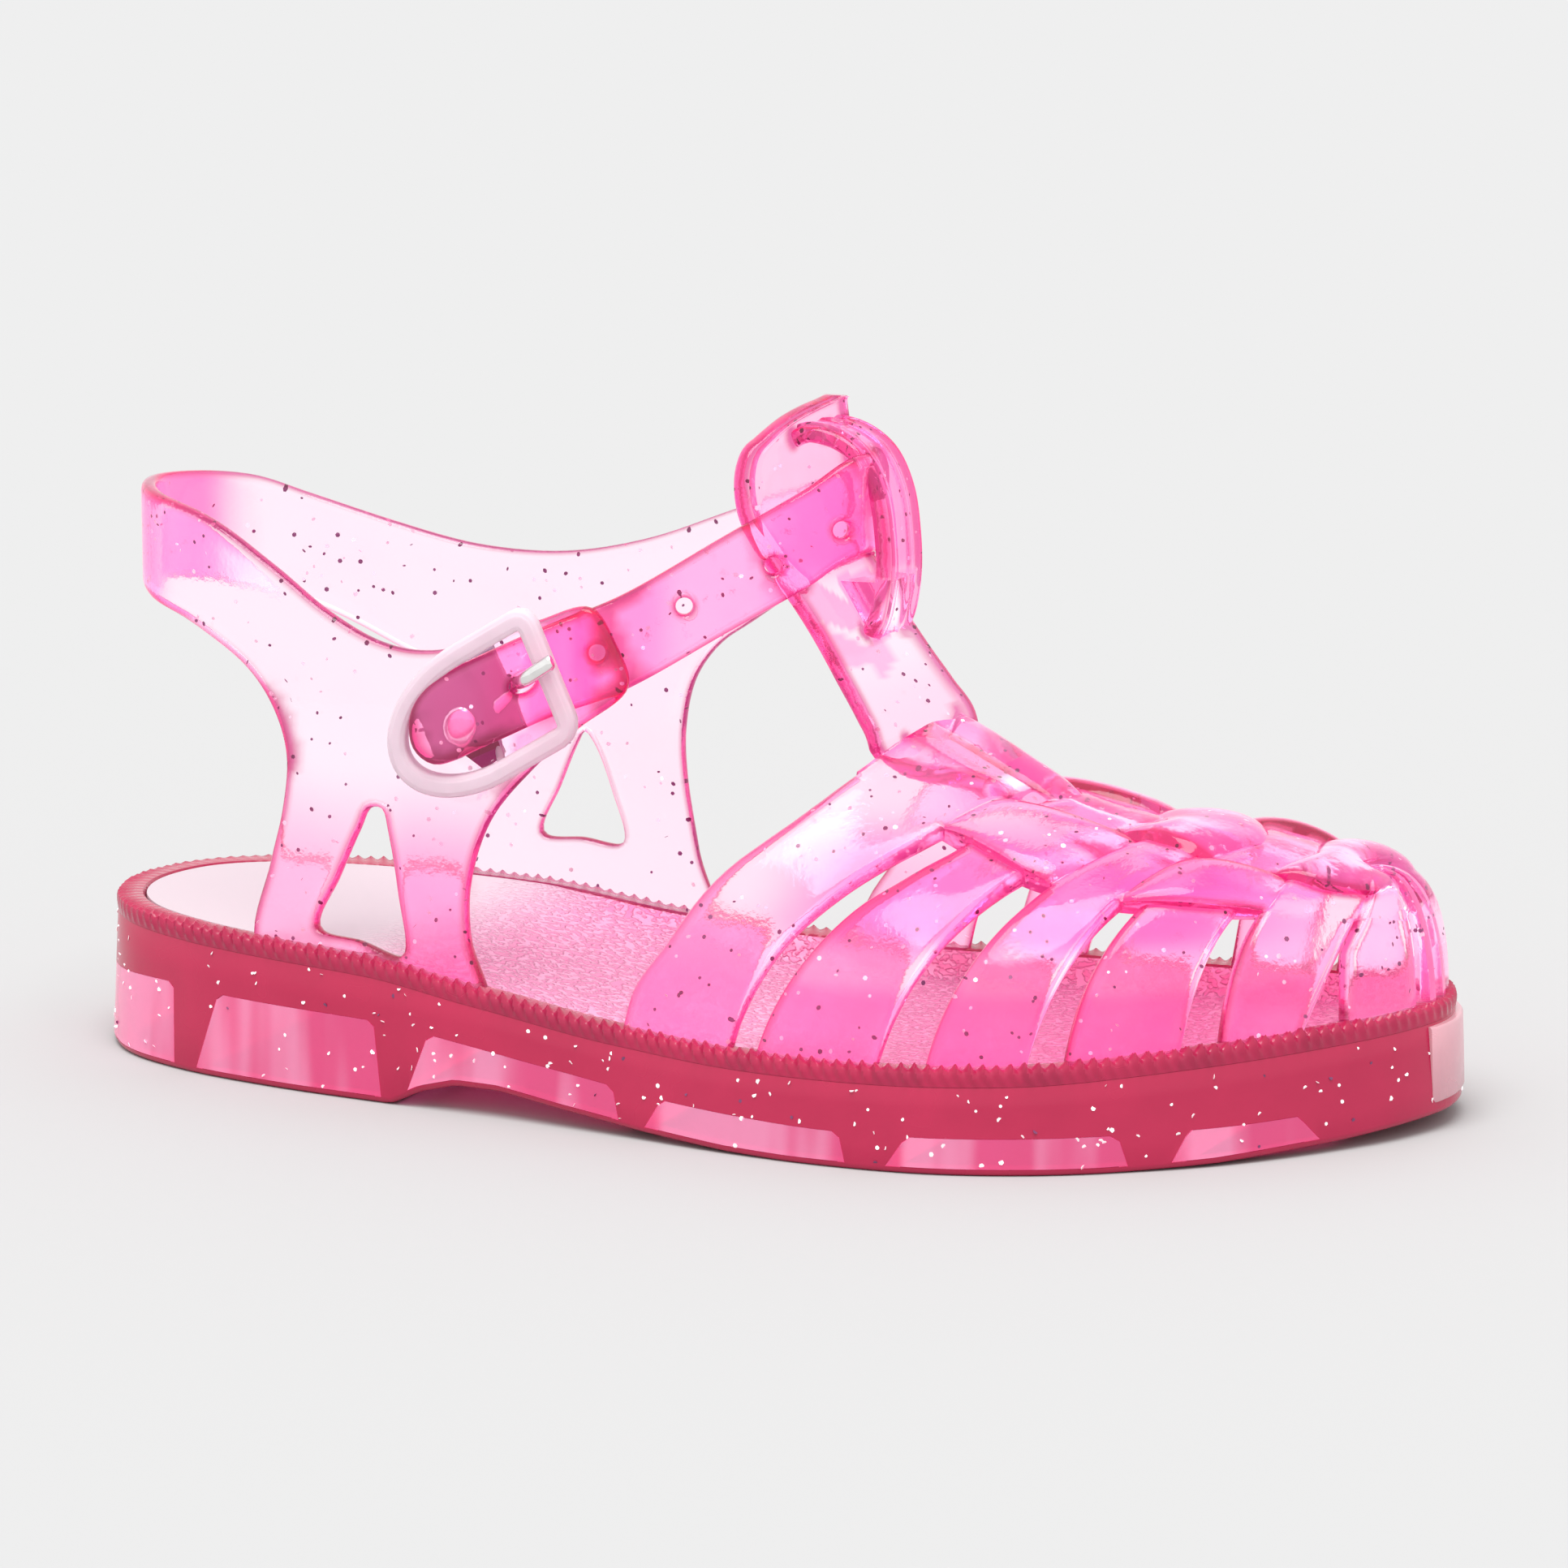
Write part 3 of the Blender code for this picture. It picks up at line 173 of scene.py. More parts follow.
# Ankle sheet in plan, from the lateral tab round the heel, then as the long strap back to the buckle
SHEET_ROWS = (
    (80.0, -31.0, 80.0, -17.6), (70.0, -29.6, 70.0, -19.4), (60.0, -28.6, 60.0, -20.6),
    (45.0, -27.4, 45.0, -21.2), (30.0, -25.6, 30.0, -20.6), (18.0, -22.8, 18.5, -18.6),
    (8.4, -17.4, 9.5, -14.4), (2.2, -4.0, 4.0, -4.0), (9.8, 10.6, 10.5, 7.6), (22.0, 15.8, 22.0, 13.2),
    (36.0, 17.6, 36.0, 15.8), (50.0, 18.3, 50.0, 16.8), (64.0, 19.6, 64.0, 16.6),
    (76.0, 22.0, 76.0, 14.8), (88.0, 9.8, 88.0, 9.8), (95.2, 5.2, 95.2, 5.2), (97.0, -1.0, 97.0, -1.0),
    (93.0, -5.8, 93.0, -5.8), (84.0, -11.4, 84.0, -11.4), (74.0, -17.2, 74.0, -17.2),
    (66.0, -21.5, 66.0, -21.5), (58.0, -26.3, 58.0, -26.3), (50.0, -28.9, 50.0, -28.9),
    (43.0, -29.6, 43.0, -29.6))
LATERAL, MEDIAL, NEAR = 0, 1, 2
LEAN_FROM, LEAN_TO = 15.0, 50.0

# Outline of the ankle sheet: section of the path, then x, z along it (a z of None is the foot in the welt)
SHEET_RUNS = (
    (LATERAL, ((61.0, None), (58.6, 20.6), (57.9, 27.0), (59.5, 34.0), (64.0, 40.0), (69.0, 44.8),
        (75.0, 50.0), (73.6, 55.0), (70.6, 59.3), (64.0, 57.4), (58.0, 55.3), (53.9, 53.6), (48.4, 52.8),
        (43.0, 53.6), (36.5, 56.5), (29.0, 61.2), (20.0, 65.8), (11.0, 67.6))),
    (MEDIAL, ((4.0, 67.8), (10.0, 66.4), (16.4, 63.8), (26.5, 60.5), (37.0, 58.3), (48.0, 58.2),
        (59.0, 60.5), (71.5, 65.2), (82.0, 69.3), (92.0, 73.8))),
    (NEAR, ((96.9, 76.4), (92.0, 72.6), (84.0, 67.4), (73.5, 60.6), (66.0, 57.2), (57.0, 52.6),
        (53.2, 49.8), (51.4, 46.4), (51.8, 42.6), (54.2, 40.8), (60.0, 43.2), (66.0, 46.2), (73.5, 49.2),
        (84.0, 55.8), (92.0, 60.9), (96.9, 64.6))),
    (MEDIAL, ((90.0, 61.0), (82.0, 57.0), (74.0, 51.8), (69.2, 48.5), (65.6, 43.9), (63.8, 37.8),
        (63.5, 31.8), (64.5, 22.0), (66.0, None), (35.0, None), (36.3, 27.0), (36.3, 35.0), (33.0, 41.5),
        (26.0, 45.4), (15.0, 50.8), (4.0, 55.2))),
    (LATERAL, ((11.0, 54.4), (16.6, 53.0), (24.3, 49.2), (28.6, 44.7), (31.2, 39.0), (31.3, 32.5),
        (30.3, 26.6), (29.0, None))))
SHEET_OUTLINE = [(section, x, z) for section, points in SHEET_RUNS for x, z in points]
# Windows of the two quarters: section of the path, then x, z of the corners
SHEET_WINDOWS = (
    (LATERAL, ((45.1, 33.9), (43.2, 33.9), (42.2, 31.6), (39.8, 25.5), (37.4, 19.6), (43.5, 18.6),
               (49.8, 17.6), (48.4, 25.0), (46.2, 31.6))),
    (MEDIAL, ((50.3, 36.2), (49.2, 34.6), (46.6, 29.0), (44.0, 23.0), (49.4, 22.8), (54.8, 22.6),
              (53.6, 29.0), (51.6, 34.6))))
# Prong holes in the long strap: x, z; the hole in use: x, z, half length, half width, slope in degrees
STRAP_HOLES = ((95.4, 67.8), (89.0, 63.9), (80.0, 59.3), (71.2, 54.0))
HOLE_RADIUS = 1.0
USED_HOLE = (63.4, 50.4, 1.7, 1.1, -27.0)

# T-bar with its slanted tongue, from its foot under the first strap: x, y, z, half width,
# turn of the width towards the toe in degrees, shift along the width
TBAR_ROWS = (
    (114.0, -1.0, 38.0, 3.6, 25, 0.6), (111.4, -0.8, 38.8, 4.4, 25, 0.4),
    (108.8, -0.6, 39.8, 5.6, 25, 0), (106.3, -0.5, 41.9, 7.2, 25, -0.6),
    (104.8, -0.5, 45.1, 8.1, 25, -1.0), (102.5, -0.4, 47.8, 7.8, 24, -0.6),
    (99.4, -0.3, 51.5, 7.4, 23, -0.2), (96.2, -0.2, 55.8, 7.1, 22, 0),
    (93.2, -0.3, 60.3, 7.1, 22, 0), (90.6, -0.5, 65.0, 7.8, 23, -0.2),
    (88.4, -0.4, 70.5, 8.9, 24, -0.2), (87.3, 0.0, 75.5, 8.2, 24, 0.4),
    (87.15, 0.2, 77.6, 6.9, 24, 1.6), (87.0, 0.4, 79.6, 5.1, 24, 3.3),
    (87.0, 0.55, 81.3, 2.9, 24, 5.2), (87.0, 0.7, 82.5, 1.2, 24, 6.7))
# Front strip of the loop over the strap: x, y, z
LOOP_ROWS = ((98.0, 1.8, 54.7), (99.2, 2.1, 57.2), (99.9, 2.4, 61.5), (99.8, 2.5, 66.5), (98.9, 2.6, 71.8),
             (96.9, 2.6, 75.6), (93.6, 2.6, 77.7), (90.2, 2.4, 78.2), (88.0, 2.2, 77.4))
LOOP_HALF, LOOP_MIDDLE = 4.0, 2.3
LOOP_SLANT = 0.12
STRAP_CORNER = 0.95
# Web in the foot of the loop: x, z of its corners
GUSSET = ((98.6, 54.6), (94.4, 61.2), (99.9, 61.4))

# Buckle
BUCKLE_TOP = (66.2, -25.8, 60.3)
BUCKLE_LOW = (71.5, -23.6, 45.6)
BUCKLE_ROUND = (48.6, -27.8, 40.5)
BUCKLE_HALF = 8.65
BUCKLE_BAR = 1.25
BUCKLE_BEND = 1.5
BUCKLE_THICK = 1.0
# Share of its length where the buckle starts to turn round
BUCKLE_ROUND_FROM = 0.46
CROSSBAR_AT = 0.50
CROSSBAR_RADIUS = 0.6
CROSSBAR_DROP, CROSSBAR_BOW = 0.4, 4.2
PRONG_RADIUS = 0.95
# Fittings under the strap in the buckle's own plane: along it, across it, under its face
RIVET_PLACE = (15.4, -0.4, 3.1)
# Height and radius of the rivet's head
RIVET_ROWS = ((-1.0, 2.3), (0.0, 2.35), (0.5, 2.2), (0.95, 1.75), (1.2, 1.1), (1.3, 0.3))
# Tail plate from and to along the buckle, its middle and half width across, how far it lies under
TAIL_FROM, TAIL_TO, TAIL_MIDDLE, TAIL_HALF, TAIL_DROP = 7.8, 19.6, 1.0, 4.9, 3.4
# Dark block under the tail, a painted shadow: corners along and across the buckle, and its span out of the
# buckle's plane
KEEPER_SHADOW = ((17.0, -2.6), (14.6, -6.5), (11.6, -6.2), (11.8, -3.0))
KEEPER_SHADOW_FROM, KEEPER_SHADOW_TO = -4.6, -3.0

# Half thickness of a glitter flake as a share of its radius
FLAKE_HALF = 0.06

# Refraction of the plastic, and sockets of a colour mix node: factor, both colours, result
JELLY_IOR = 1.46
FACTOR, LOW, HIGH, RESULT = 0, 6, 7, 2


def metres(points):
    """Working millimetres to the shared frame."""
    return (np.asarray(points, float) - FRAME_SHIFT) * MM


def smooth(pairs, x):
    """Monotone cubic through pairs of x and value."""
    a = np.array(pairs, float)
    xs = np.atleast_1d(np.asarray(x, float))
    d = np.diff(a[:, 1]) / np.diff(a[:, 0])
    total = np.where(np.abs(d[:-1] + d[1:]) < 1e-12, 1.0, d[:-1] + d[1:])
    inner = np.where(d[:-1] * d[1:] > 0, 2 * d[:-1] * d[1:] / total, 0.0)
    m = np.concatenate([[d[0]], inner, [d[-1]]])
    i = np.clip(np.searchsorted(a[:, 0], xs) - 1, 0, len(a) - 2)
    h = a[i + 1, 0] - a[i, 0]
    t = np.clip((xs - a[i, 0]) / h, 0, 1)
    y = ((2 * t**3 - 3 * t**2 + 1) * a[i, 1] + (t**3 - 2 * t**2 + t) * h * m[i]
         + (3 * t**2 - 2 * t**3) * a[i + 1, 1] + (t**3 - t**2) * h * m[i + 1])
    return y if np.ndim(x) else float(y[0])


def column(rows, names, key, want, x):
    """One named column of a table against another."""
    a = np.array(rows, float)
    return smooth(np.stack([a[:, names.index(key)], a[:, names.index(want)]], 1), x)


def spline(points, steps, closed):
    """Centripetal Catmull-Rom curve through points."""
    p = np.array(points, float)
    if not closed:
        p = np.vstack([2 * p[0] - p[1], p, 2 * p[-1] - p[-2]])
    n = len(p)
    out = []
    for i in range(n) if closed else range(1, n - 2):
        q = [p[(i - 1) % n], p[i], p[(i + 1) % n], p[(i + 2) % n]]
        t = [0.0]
        for a, b in zip(q, q[1:]):
            t.append(t[-1] + max(np.linalg.norm(b - a), 1e-6)**0.5)
        s = (t[1] + (t[2] - t[1]) * np.arange(steps) / steps)[:, None]
        a1 = ((t[1] - s) * q[0] + (s - t[0]) * q[1]) / (t[1] - t[0])
        a2 = ((t[2] - s) * q[1] + (s - t[1]) * q[2]) / (t[2] - t[1])
        a3 = ((t[3] - s) * q[2] + (s - t[2]) * q[3]) / (t[3] - t[2])
        b1 = ((t[2] - s) * a1 + (s - t[0]) * a2) / (t[2] - t[0])
        b2 = ((t[3] - s) * a2 + (s - t[1]) * a3) / (t[3] - t[1])
        out.append(((t[2] - s) * b1 + (s - t[1]) * b2) / (t[2] - t[1]))
    if not closed:
        out.append(p[-2][None, :])
    return np.vstack(out)


def arc_lengths(points):
    return np.concatenate([[0.0], np.cumsum(np.linalg.norm(np.diff(points, axis=0), axis=1))])


def resample(points, count):
    """Open line with equal spaces."""
    s = arc_lengths(points)
    want = np.linspace(0, s[-1], count)
    return np.stack([np.interp(want, s, points[:, k]) for k in range(points.shape[1])], 1)


def resample_ring(points, spacing):
    """Closed line with nearly equal spaces."""
    line = np.vstack([points, points[:1]])
    count = max(8, int(round(arc_lengths(line)[-1] / spacing)))
    return resample(line, count + 1)[:-1]


def full_turn(count):
    return np.linspace(0, 2 * math.pi, count + 1)[:-1]


def ring_normals(loop):
    """Left-hand normals of a closed plan line."""
    t = np.roll(loop, -1, 0) - np.roll(loop, 1, 0)
    t /= np.maximum(np.linalg.norm(t, axis=1), 1e-9)[:, None]
    return np.stack([-t[:, 1], t[:, 0]], 1)


RIM_LOOP = spline(RIM_POINTS, 40, True)


def side_paths(distance):
    """Lateral and medial halves of the rim moved inwards, both from the heel to the toe."""
    loop = RIM_LOOP + ring_normals(RIM_LOOP) * distance
    start, tip = int(np.argmin(loop[:, 0])), int(np.argmax(loop[:, 0]))
    loop = np.roll(loop, -start, 0)
    tip = (tip - start) % len(loop)
    return loop[:tip + 1], np.vstack([loop[tip:], loop[:1]])[::-1]


LAT_PATH, MED_PATH = side_paths(STRAP_INSET)


def on_side(path, x):
    return np.stack([np.interp(x, path[:, 0], path[:, 0]), np.interp(x, path[:, 0], path[:, 1])], -1)


def rim_z(x):
    return smooth(RIM_HEIGHT, x)


def ledge_z(x):
    return rim_z(x) - WELT_HEIGHT - SEAT


def bed_z(x):
    return rim_z(x) - smooth(FOOTBED_DEPTH, x)


def bed_rim_z(x):
    return rim_z(x) - np.minimum(smooth(FOOTBED_DEPTH, x), 0.35)


def floor_z(x):
    return bed_z(x) - INSOLE_THICK - 0.1


def skirt_z(x):
    return smooth(SKIRT_TOP, x)


def ground_z(x):
    return np.interp(x, [r[0] for r in GROUND_HEIGHT], [r[1] for r in GROUND_HEIGHT])


def new_object(name, data):
    obj = bpy.data.objects.new(name, data)
    bpy.context.scene.collection.objects.link(obj)
    return obj


def new_mesh_object(name, verts, faces):
    """Closed mesh in millimetres, outward faces."""
    mesh = bpy.data.meshes.new(name)
    mesh.from_pydata([tuple(v) for v in verts], [], [tuple(int(i) for i in f) for f in faces])
    work = bmesh.new()
    work.from_mesh(mesh)
    bmesh.ops.remove_doubles(work, verts=work.verts, dist=1e-4)
    bmesh.ops.triangulate(work, faces=[f for f in work.faces if len(f.verts) > 4])
    bmesh.ops.recalc_face_normals(work, faces=work.faces)
    if work.calc_volume(signed=True) < 0:
        bmesh.ops.reverse_faces(work, faces=work.faces)
    work.to_mesh(mesh)
    work.free()
    return new_object(name, mesh)


def boolean(target, tool, operation):
    """Joins a tool with the target or cuts it away; the tool is used up."""
    mod = target.modifiers.new("join", "BOOLEAN")
    mod.operation = operation
    mod.solver = "MANIFOLD"
    mod.object = tool
    graph = bpy.context.evaluated_depsgraph_get()
    fresh = bpy.data.meshes.new_from_object(target.evaluated_get(graph))
    target.modifiers.remove(mod)
    target.data = fresh
    bpy.data.objects.remove(tool, do_unlink=True)
    return target


def coordinates(mesh):
    flat = np.empty(len(mesh.vertices) * 3)
    mesh.vertices.foreach_get("co", flat)
    return flat.reshape(-1, 3)


def working_points(mesh):
    """Points of a finished mesh in working millimetres."""
    return coordinates(mesh) / MM + FRAME_SHIFT


def store(mesh, name, values):
    """Keeps a value for each point, which the material reads by its name."""
    layer = mesh.attributes.new(name, "FLOAT", "POINT")
    layer.data.foreach_set("value", np.asarray(values, np.float32))


def ramp(value, begin, end):
    """Smooth step from 0 at begin to 1 at end."""
    t = np.clip((value - begin) / (end - begin), 0, 1)
    return t * t * (3 - 2 * t)


def finish_piece(obj, materials, node, sharp_degrees):
    """Moves the mesh into the shared frame, shades it, hangs it under the root body and hides the CAD part
    that it replaces.
    """
    mesh = obj.data
    work = bmesh.new()
    work.from_mesh(mesh)
    bmesh.ops.remove_doubles(work, verts=work.verts, dist=2e-3)
    bmesh.ops.dissolve_degenerate(work, edges=work.edges, dist=1e-3)
    work.to_mesh(mesh)
    work.free()
    if not len(mesh.polygons):
        raise RuntimeError("piece %s came out empty" % obj.name)
    mesh.vertices.foreach_set("co", metres(coordinates(mesh)).ravel())
    mesh.polygons.foreach_set("use_smooth", np.ones(len(mesh.polygons), bool))
    mesh.set_sharp_from_angle(angle=math.radians(sharp_degrees))
    mesh.materials.clear()
    for material in materials:
        mesh.materials.append(material)
    mesh.update()
    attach(obj, "root")
    if node:
        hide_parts(node)
    return obj


def sole_loop(distance, height):
    """Closed loop of points round the foot: lateral side to the toe, then the medial side back."""
    lat, med = side_paths(distance)
    lat, med = resample(lat, LOOP_STATIONS + 1), resample(med, LOOP_STATIONS + 1)
    flat = np.vstack([lat, med[-2:0:-1]])
    return np.column_stack([flat, height(flat[:, 0])])


def wall_loop(height):
    """Loop on the flared outer wall of the sole at a height."""
    low, high = sole_loop(-SOLE_FLARE, height), sole_loop(0.0, height)
    x = high[:, 0]
    foot = ground_z(x) + SOLE_ROUND
    share = np.clip((height(x) - foot) / (ledge_z(x) - foot), 0, 1)[:, None]
    return low + (high - low) * share


def cap(first, total, flip):
    """Faces across a loop, from each lateral point to its medial partner."""
    faces = []
    for i in range(total // 2):
        quad = list(dict.fromkeys([i, i + 1, (total - i - 1) % total, (total - i) % total]))
        faces.append([first + q for q in (quad[::-1] if flip else quad)])
    return faces


def stack_of_loops(levels):
    """Closed body from loops one above the other, with a cap on the first and the last."""
    total = len(levels[0])
    faces = cap(0, total, False)
    for k in range(len(levels) - 1):
        for i in range(total):
            j = (i + 1) % total
            faces.append([k * total + i, k * total + j, (k + 1) * total + j, (k + 1) * total + i])
    faces += cap((len(levels) - 1) * total, total, True)
    return np.vstack(levels), faces


def ring_of_sections(sections, closed):
    """Body swept through sections of equal count; an open sweep gets end caps."""
    count, width = len(sections), len(sections[0])
    faces = []
    for k in range(count if closed else count - 1):
        n = (k + 1) % count
        for i in range(width):
            j = (i + 1) % width
            faces.append([k * width + i, k * width + j, n * width + j, n * width + i])
    if not closed:
        faces.append(list(range(width))[::-1])
        faces.append([(count - 1) * width + i for i in range(width)])
    return np.vstack(sections), faces


def inside(points, polygon):
    """Which points lie in a closed polygon."""
    x, y = points[:, 0], points[:, 1]
    result = np.zeros(len(points), bool)
    for a, b in zip(polygon, np.roll(polygon, -1, 0)):
        crossing = (a[1] > y) != (b[1] > y)
        slope = (b[0] - a[0]) / (b[1] - a[1] if b[1] != a[1] else 1e-9)
        result ^= crossing & (x < a[0] + (y - a[1]) * slope)
    return result


def distance_to(points, polygon):
    """Distance of each point to a closed polygon's edges."""
    best = np.full(len(points), 1e9)
    for a, b in zip(polygon, np.roll(polygon, -1, 0)):
        ab = b - a
        t = np.clip(((points - a) @ ab) / max(ab @ ab, 1e-12), 0, 1)
        best = np.minimum(best, np.linalg.norm(points - a - t[:, None] * ab, axis=1))
    return best


def sheet_mesh(outline, holes, edge_steps, spacing):
    """Flat points and triangles of a region with holes; rows of points follow every edge at edge_steps."""
    polygons = [outline] + holes
    coords = [p for poly in polygons for p in poly]
    edges = []
    first = 0
    for poly in polygons:
        edges += [(first + i, first + (i + 1) % len(poly)) for i in range(len(poly))]
        first += len(poly)
    wanted, clear = [], []
    for poly in polygons:
        for step in edge_steps:
            for side in (-1, 1):
                wanted.append(poly + ring_normals(poly) * step * side)
                clear.append(np.full(len(poly), step * 0.93))
    low, high = outline.min(0), outline.max(0)
    columns, rows = (np.arange(low[k], high[k], spacing) for k in range(2))
    u, v = np.meshgrid(columns, rows, indexing="ij")
    v = v + spacing / 2 * (np.arange(len(u)) % 2)[:, None]
    wanted.append(np.stack([u.ravel(), v.ravel()], 1))
    clear.append(np.full(u.size, edge_steps[-1] + spacing * 0.6))
    wanted, clear = np.vstack(wanted), np.concatenate(clear)
    keep = inside(wanted, outline)
    for hole in holes:
        keep &= ~inside(wanted, hole)
    for poly in polygons:
        keep &= distance_to(wanted, poly) > clear
    coords += list(wanted[keep])
    flat, _, faces, _, _, _ = delaunay_2d_cdt([Vector(p) for p in coords], edges, [], 0, 1e-4)
    flat = np.array([tuple(v) for v in flat])
    centres = np.array([flat[list(f)].mean(0) for f in faces])
    good = inside(centres, outline)
    for hole in holes:
        good &= ~inside(centres, hole)
    return flat, [f for f, g in zip(faces, good) if g]


def thick_sheet(outer, inner, faces, centre):
    """Closed body between two copies of a sheet; points of the sheet that coincide become one."""
    same, number = {}, {}
    for i in sorted({i for f in faces for i in f}):
        number[i] = same.setdefault(tuple(np.round(centre[i], 3)), len(same))
    first = {}
    for i, n in number.items():
        first.setdefault(n, i)
    order = [first[n] for n in range(len(first))]
    total = len(order)
    shell, border = [], set()
    for f in faces:
        ring = list(dict.fromkeys(number[i] for i in f))
        if len(ring) < 3:
            continue
        shell += [ring, [total + i for i in ring[::-1]]]
        border |= set(zip(ring, ring[1:] + ring[:1]))
    for a, b in border:
        if (b, a) not in border:
            shell.append([b, a, total + a, total + b])
    return np.vstack([outer[order], inner[order]]), shell


def round_edge(distance, radius, flat_share):
    """Share of the wall's half thickness at a distance from an edge."""
    near = np.clip(distance / radius, 0, 1)
    return flat_share + (1 - flat_share) * np.sqrt(1 - (1 - near)**2)


# Woven forefoot
def fore(name, station):
    return column(FORE_ROWS, FORE_COLUMNS, "lateral", name, station)


def fore_surface(station, across):
    """Point of the forefoot surface; across runs from -1 at the lateral rim over 0 at the crest to 1."""
    lateral, medial = on_side(LAT_PATH, station), on_side(MED_PATH, fore("medial", station))
    base = np.where((across < 0)[:, None], lateral, medial)
    crest = np.stack([fore("crest_x", station), fore("crest_y", station)], 1)
    foot = rim_z(base[:, 0]) - FOOT_SINK
    power = 2 / (2.2 + 0.8 * np.clip((station - 125) / 35, 0, 1))
    angle = (1 - np.abs(across)) * math.pi / 2
    inward = 1 - np.maximum(np.cos(angle), 0)**power
    upward = np.maximum(np.sin(angle), 0)**power
    flat = base + (crest - base) * inward[:, None]
    return np.column_stack([flat, foot + (fore("crest_z", station) - foot) * upward])


def fore_normal(station, across):
    """Outward direction of the forefoot surface."""
    lo, hi = np.clip(across - 0.01, -1, 1), np.clip(across + 0.01, -1, 1)
    ahead, behind = np.clip(station + 0.4, 70, 163.39), np.clip(station - 0.4, 70, 163.39)
    along = fore_surface(ahead, across) - fore_surface(behind, across)
    over = fore_surface(station, hi) - fore_surface(station, lo)
    n = np.cross(along, over)
    size = np.linalg.norm(n, axis=1)
    middle = np.stack([fore("crest_x", station), fore("crest_y", station), np.full(len(station), 14.0)], 1)
    away = fore_surface(station, across) - middle
    away /= np.linalg.norm(away, axis=1)[:, None]
    n = np.where((size < 1e-4)[:, None], away, n / np.maximum(size, 1e-9)[:, None])
    n = np.where((np.sum(n * away, 1) < 0)[:, None], -n, n)
    tip = np.clip((station - 161.8) / 1.2, 0, 1)[:, None]
    n = n * (1 - tip) + away * tip
    return n / np.linalg.norm(n, axis=1)[:, None]


def strap_edge(row, end, across):
    """Station of a cross strap's rear or front edge at each place across the foot."""
    value = dict(zip(CROSS_COLUMNS, CROSS_STRAPS[row]))
    foot = np.where(across < 0, value[end + "_lat"], value[end + "_med"])
    place = np.abs(across)
    shift = smooth(EDGE_SHIFTS[row, end], place) if (row, end) in EDGE_SHIFTS else 0.0
    return foot + (value[end + "_top"] - foot) * (1 - place)**0.7 + shift


def strip_lines(station):
    """Row lines across the foot: rim, the edges of the three lengthwise strips, rim."""
    values = [column(WEAVE_ROWS, WEAVE_COLUMNS, "station", name, station) for name in WEAVE_COLUMNS[1:]]
    low, high, lateral, medial = values
    one = np.ones(len(station))
    return np.stack([-one, -low, -high, lateral, medial, high, low, one])


def strap_lines(across):
    """Column lines along the foot: rear and front edge of each cross strap, toe strap, slit and tip."""
    lines = []
    for row in range(len(CROSS_STRAPS)):
        lines += [strap_edge(row, "rear", across), strap_edge(row, "front", across)]
    lines.append(np.maximum(TOE_STRAP_REAR, lines[-1] + 0.3))
    for station in TOE_SLIT + (TOE_TIP,):
        lines.append(np.full(len(across), station))
    return np.stack(lines)


def crown(t):
    return 1 - np.abs(2 * t - 1)**CROWN_POWER


def dense_ends(cells):
    """Places from 0 to 1, closer together at both ends."""
    t = np.linspace(0, 1, cells + 1)
    return t - np.sin(2 * math.pi * t) / (2 * math.pi) * 0.85


def weave_relief(band, t, lane, u, station, across, sizes):
    """Height of the outer face over the wall: cross straps with lengthwise strips over every second one."""
    rounding, rise, sink = sizes
    count = len(CROSS_STRAPS)
    on_strap = (band % 2 == 0) & (band <= 2 * count)
    height = np.where(on_strap, rounding * crown(t), -GAP_SINK)
    height = np.where(band == 2 * count + 2, rounding, height)
    for index in range(3):
        for over in range(0 if index == 1 else 1, count, 2):
            begin, end = np.full(len(across), 70.0), np.full(len(across), TOE_TIP)
            if over:
                begin = strap_edge(over - 1, "front", across) - 1.2
            if over + 1 < count:
                end = strap_edge(over + 1, "rear", across) + 1.2
            place = np.clip((station - begin) / (end - begin), 0, 1)
            hump = rise * np.sin(math.pi * place)**HUMP_POWER - sink + rounding * crown(u)
            here = (lane == 2 * index + 1) & (place > 0) & (place < 1)
            height = np.where(here, np.maximum(height, hump), height)
    return height


def weave_grid():
    """Grid whose lines follow the edges of all straps and strips, without the open cells."""
    count = len(CROSS_STRAPS)
    bands, lanes = [], []
    for band in range(2 * count + 3):
        cells = GAP_CELLS
        if band % 2 == 0:
            cells = STRAP_CELLS if band < 2 * count else TOE_CELLS
        bands += [(band, t) for t in dense_ends(cells)[:-1]]
    bands.append((2 * count + 2, 1.0))
    for lane in range(7):
        cells = STRAP_CELLS if lane % 2 else (SIDE_CELLS if lane in (0, 6) else LANE_CELLS)
        lanes += [(lane, u) for u in dense_ends(cells)[:-1]]
    lanes.append((6, 1.0))
    band, lane = np.meshgrid([b[0] for b in bands], [v[0] for v in lanes], indexing="ij")
    t, u = np.meshgrid([b[1] for b in bands], [v[1] for v in lanes], indexing="ij")
    shape = band.shape
    band, lane, t, u = band.ravel(), lane.ravel(), t.ravel(), u.ravel()
    across = np.tile(np.linspace(-1, 1, shape[1]), shape[0])
    pick = np.arange(len(band))
    for _ in range(10):
        lines = strap_lines(across)
        station = lines[band, pick] + (lines[band + 1, pick] - lines[band, pick]) * t
        rows = strip_lines(station)
        across = rows[lane, pick] + (rows[lane + 1, pick] - rows[lane, pick]) * u
    place = np.abs(across.reshape(shape))
    cells = []
    for i in range(shape[0] - 1):
        gap = bands[i][0]
        for j in range(shape[1] - 1):
            side = lanes[j][0] in (0, 6)
            middle = (place[i, j] + place[i, j + 1]) / 2
            open_gap = gap % 2 == 1 and gap < 2 * count - 1
            open_gap |= gap == 2 * count - 1 and middle > TOE_GAP_TOP
            open_gap |= gap == 2 * count + 1 and middle > TOE_SLIT_TOP
            if not (side and open_gap):
                a, b = i * shape[1] + j, (i + 1) * shape[1] + j
                cells.append((a, b, b + 1, a + 1))
    return band, t, lane, u, station, across, cells, shape


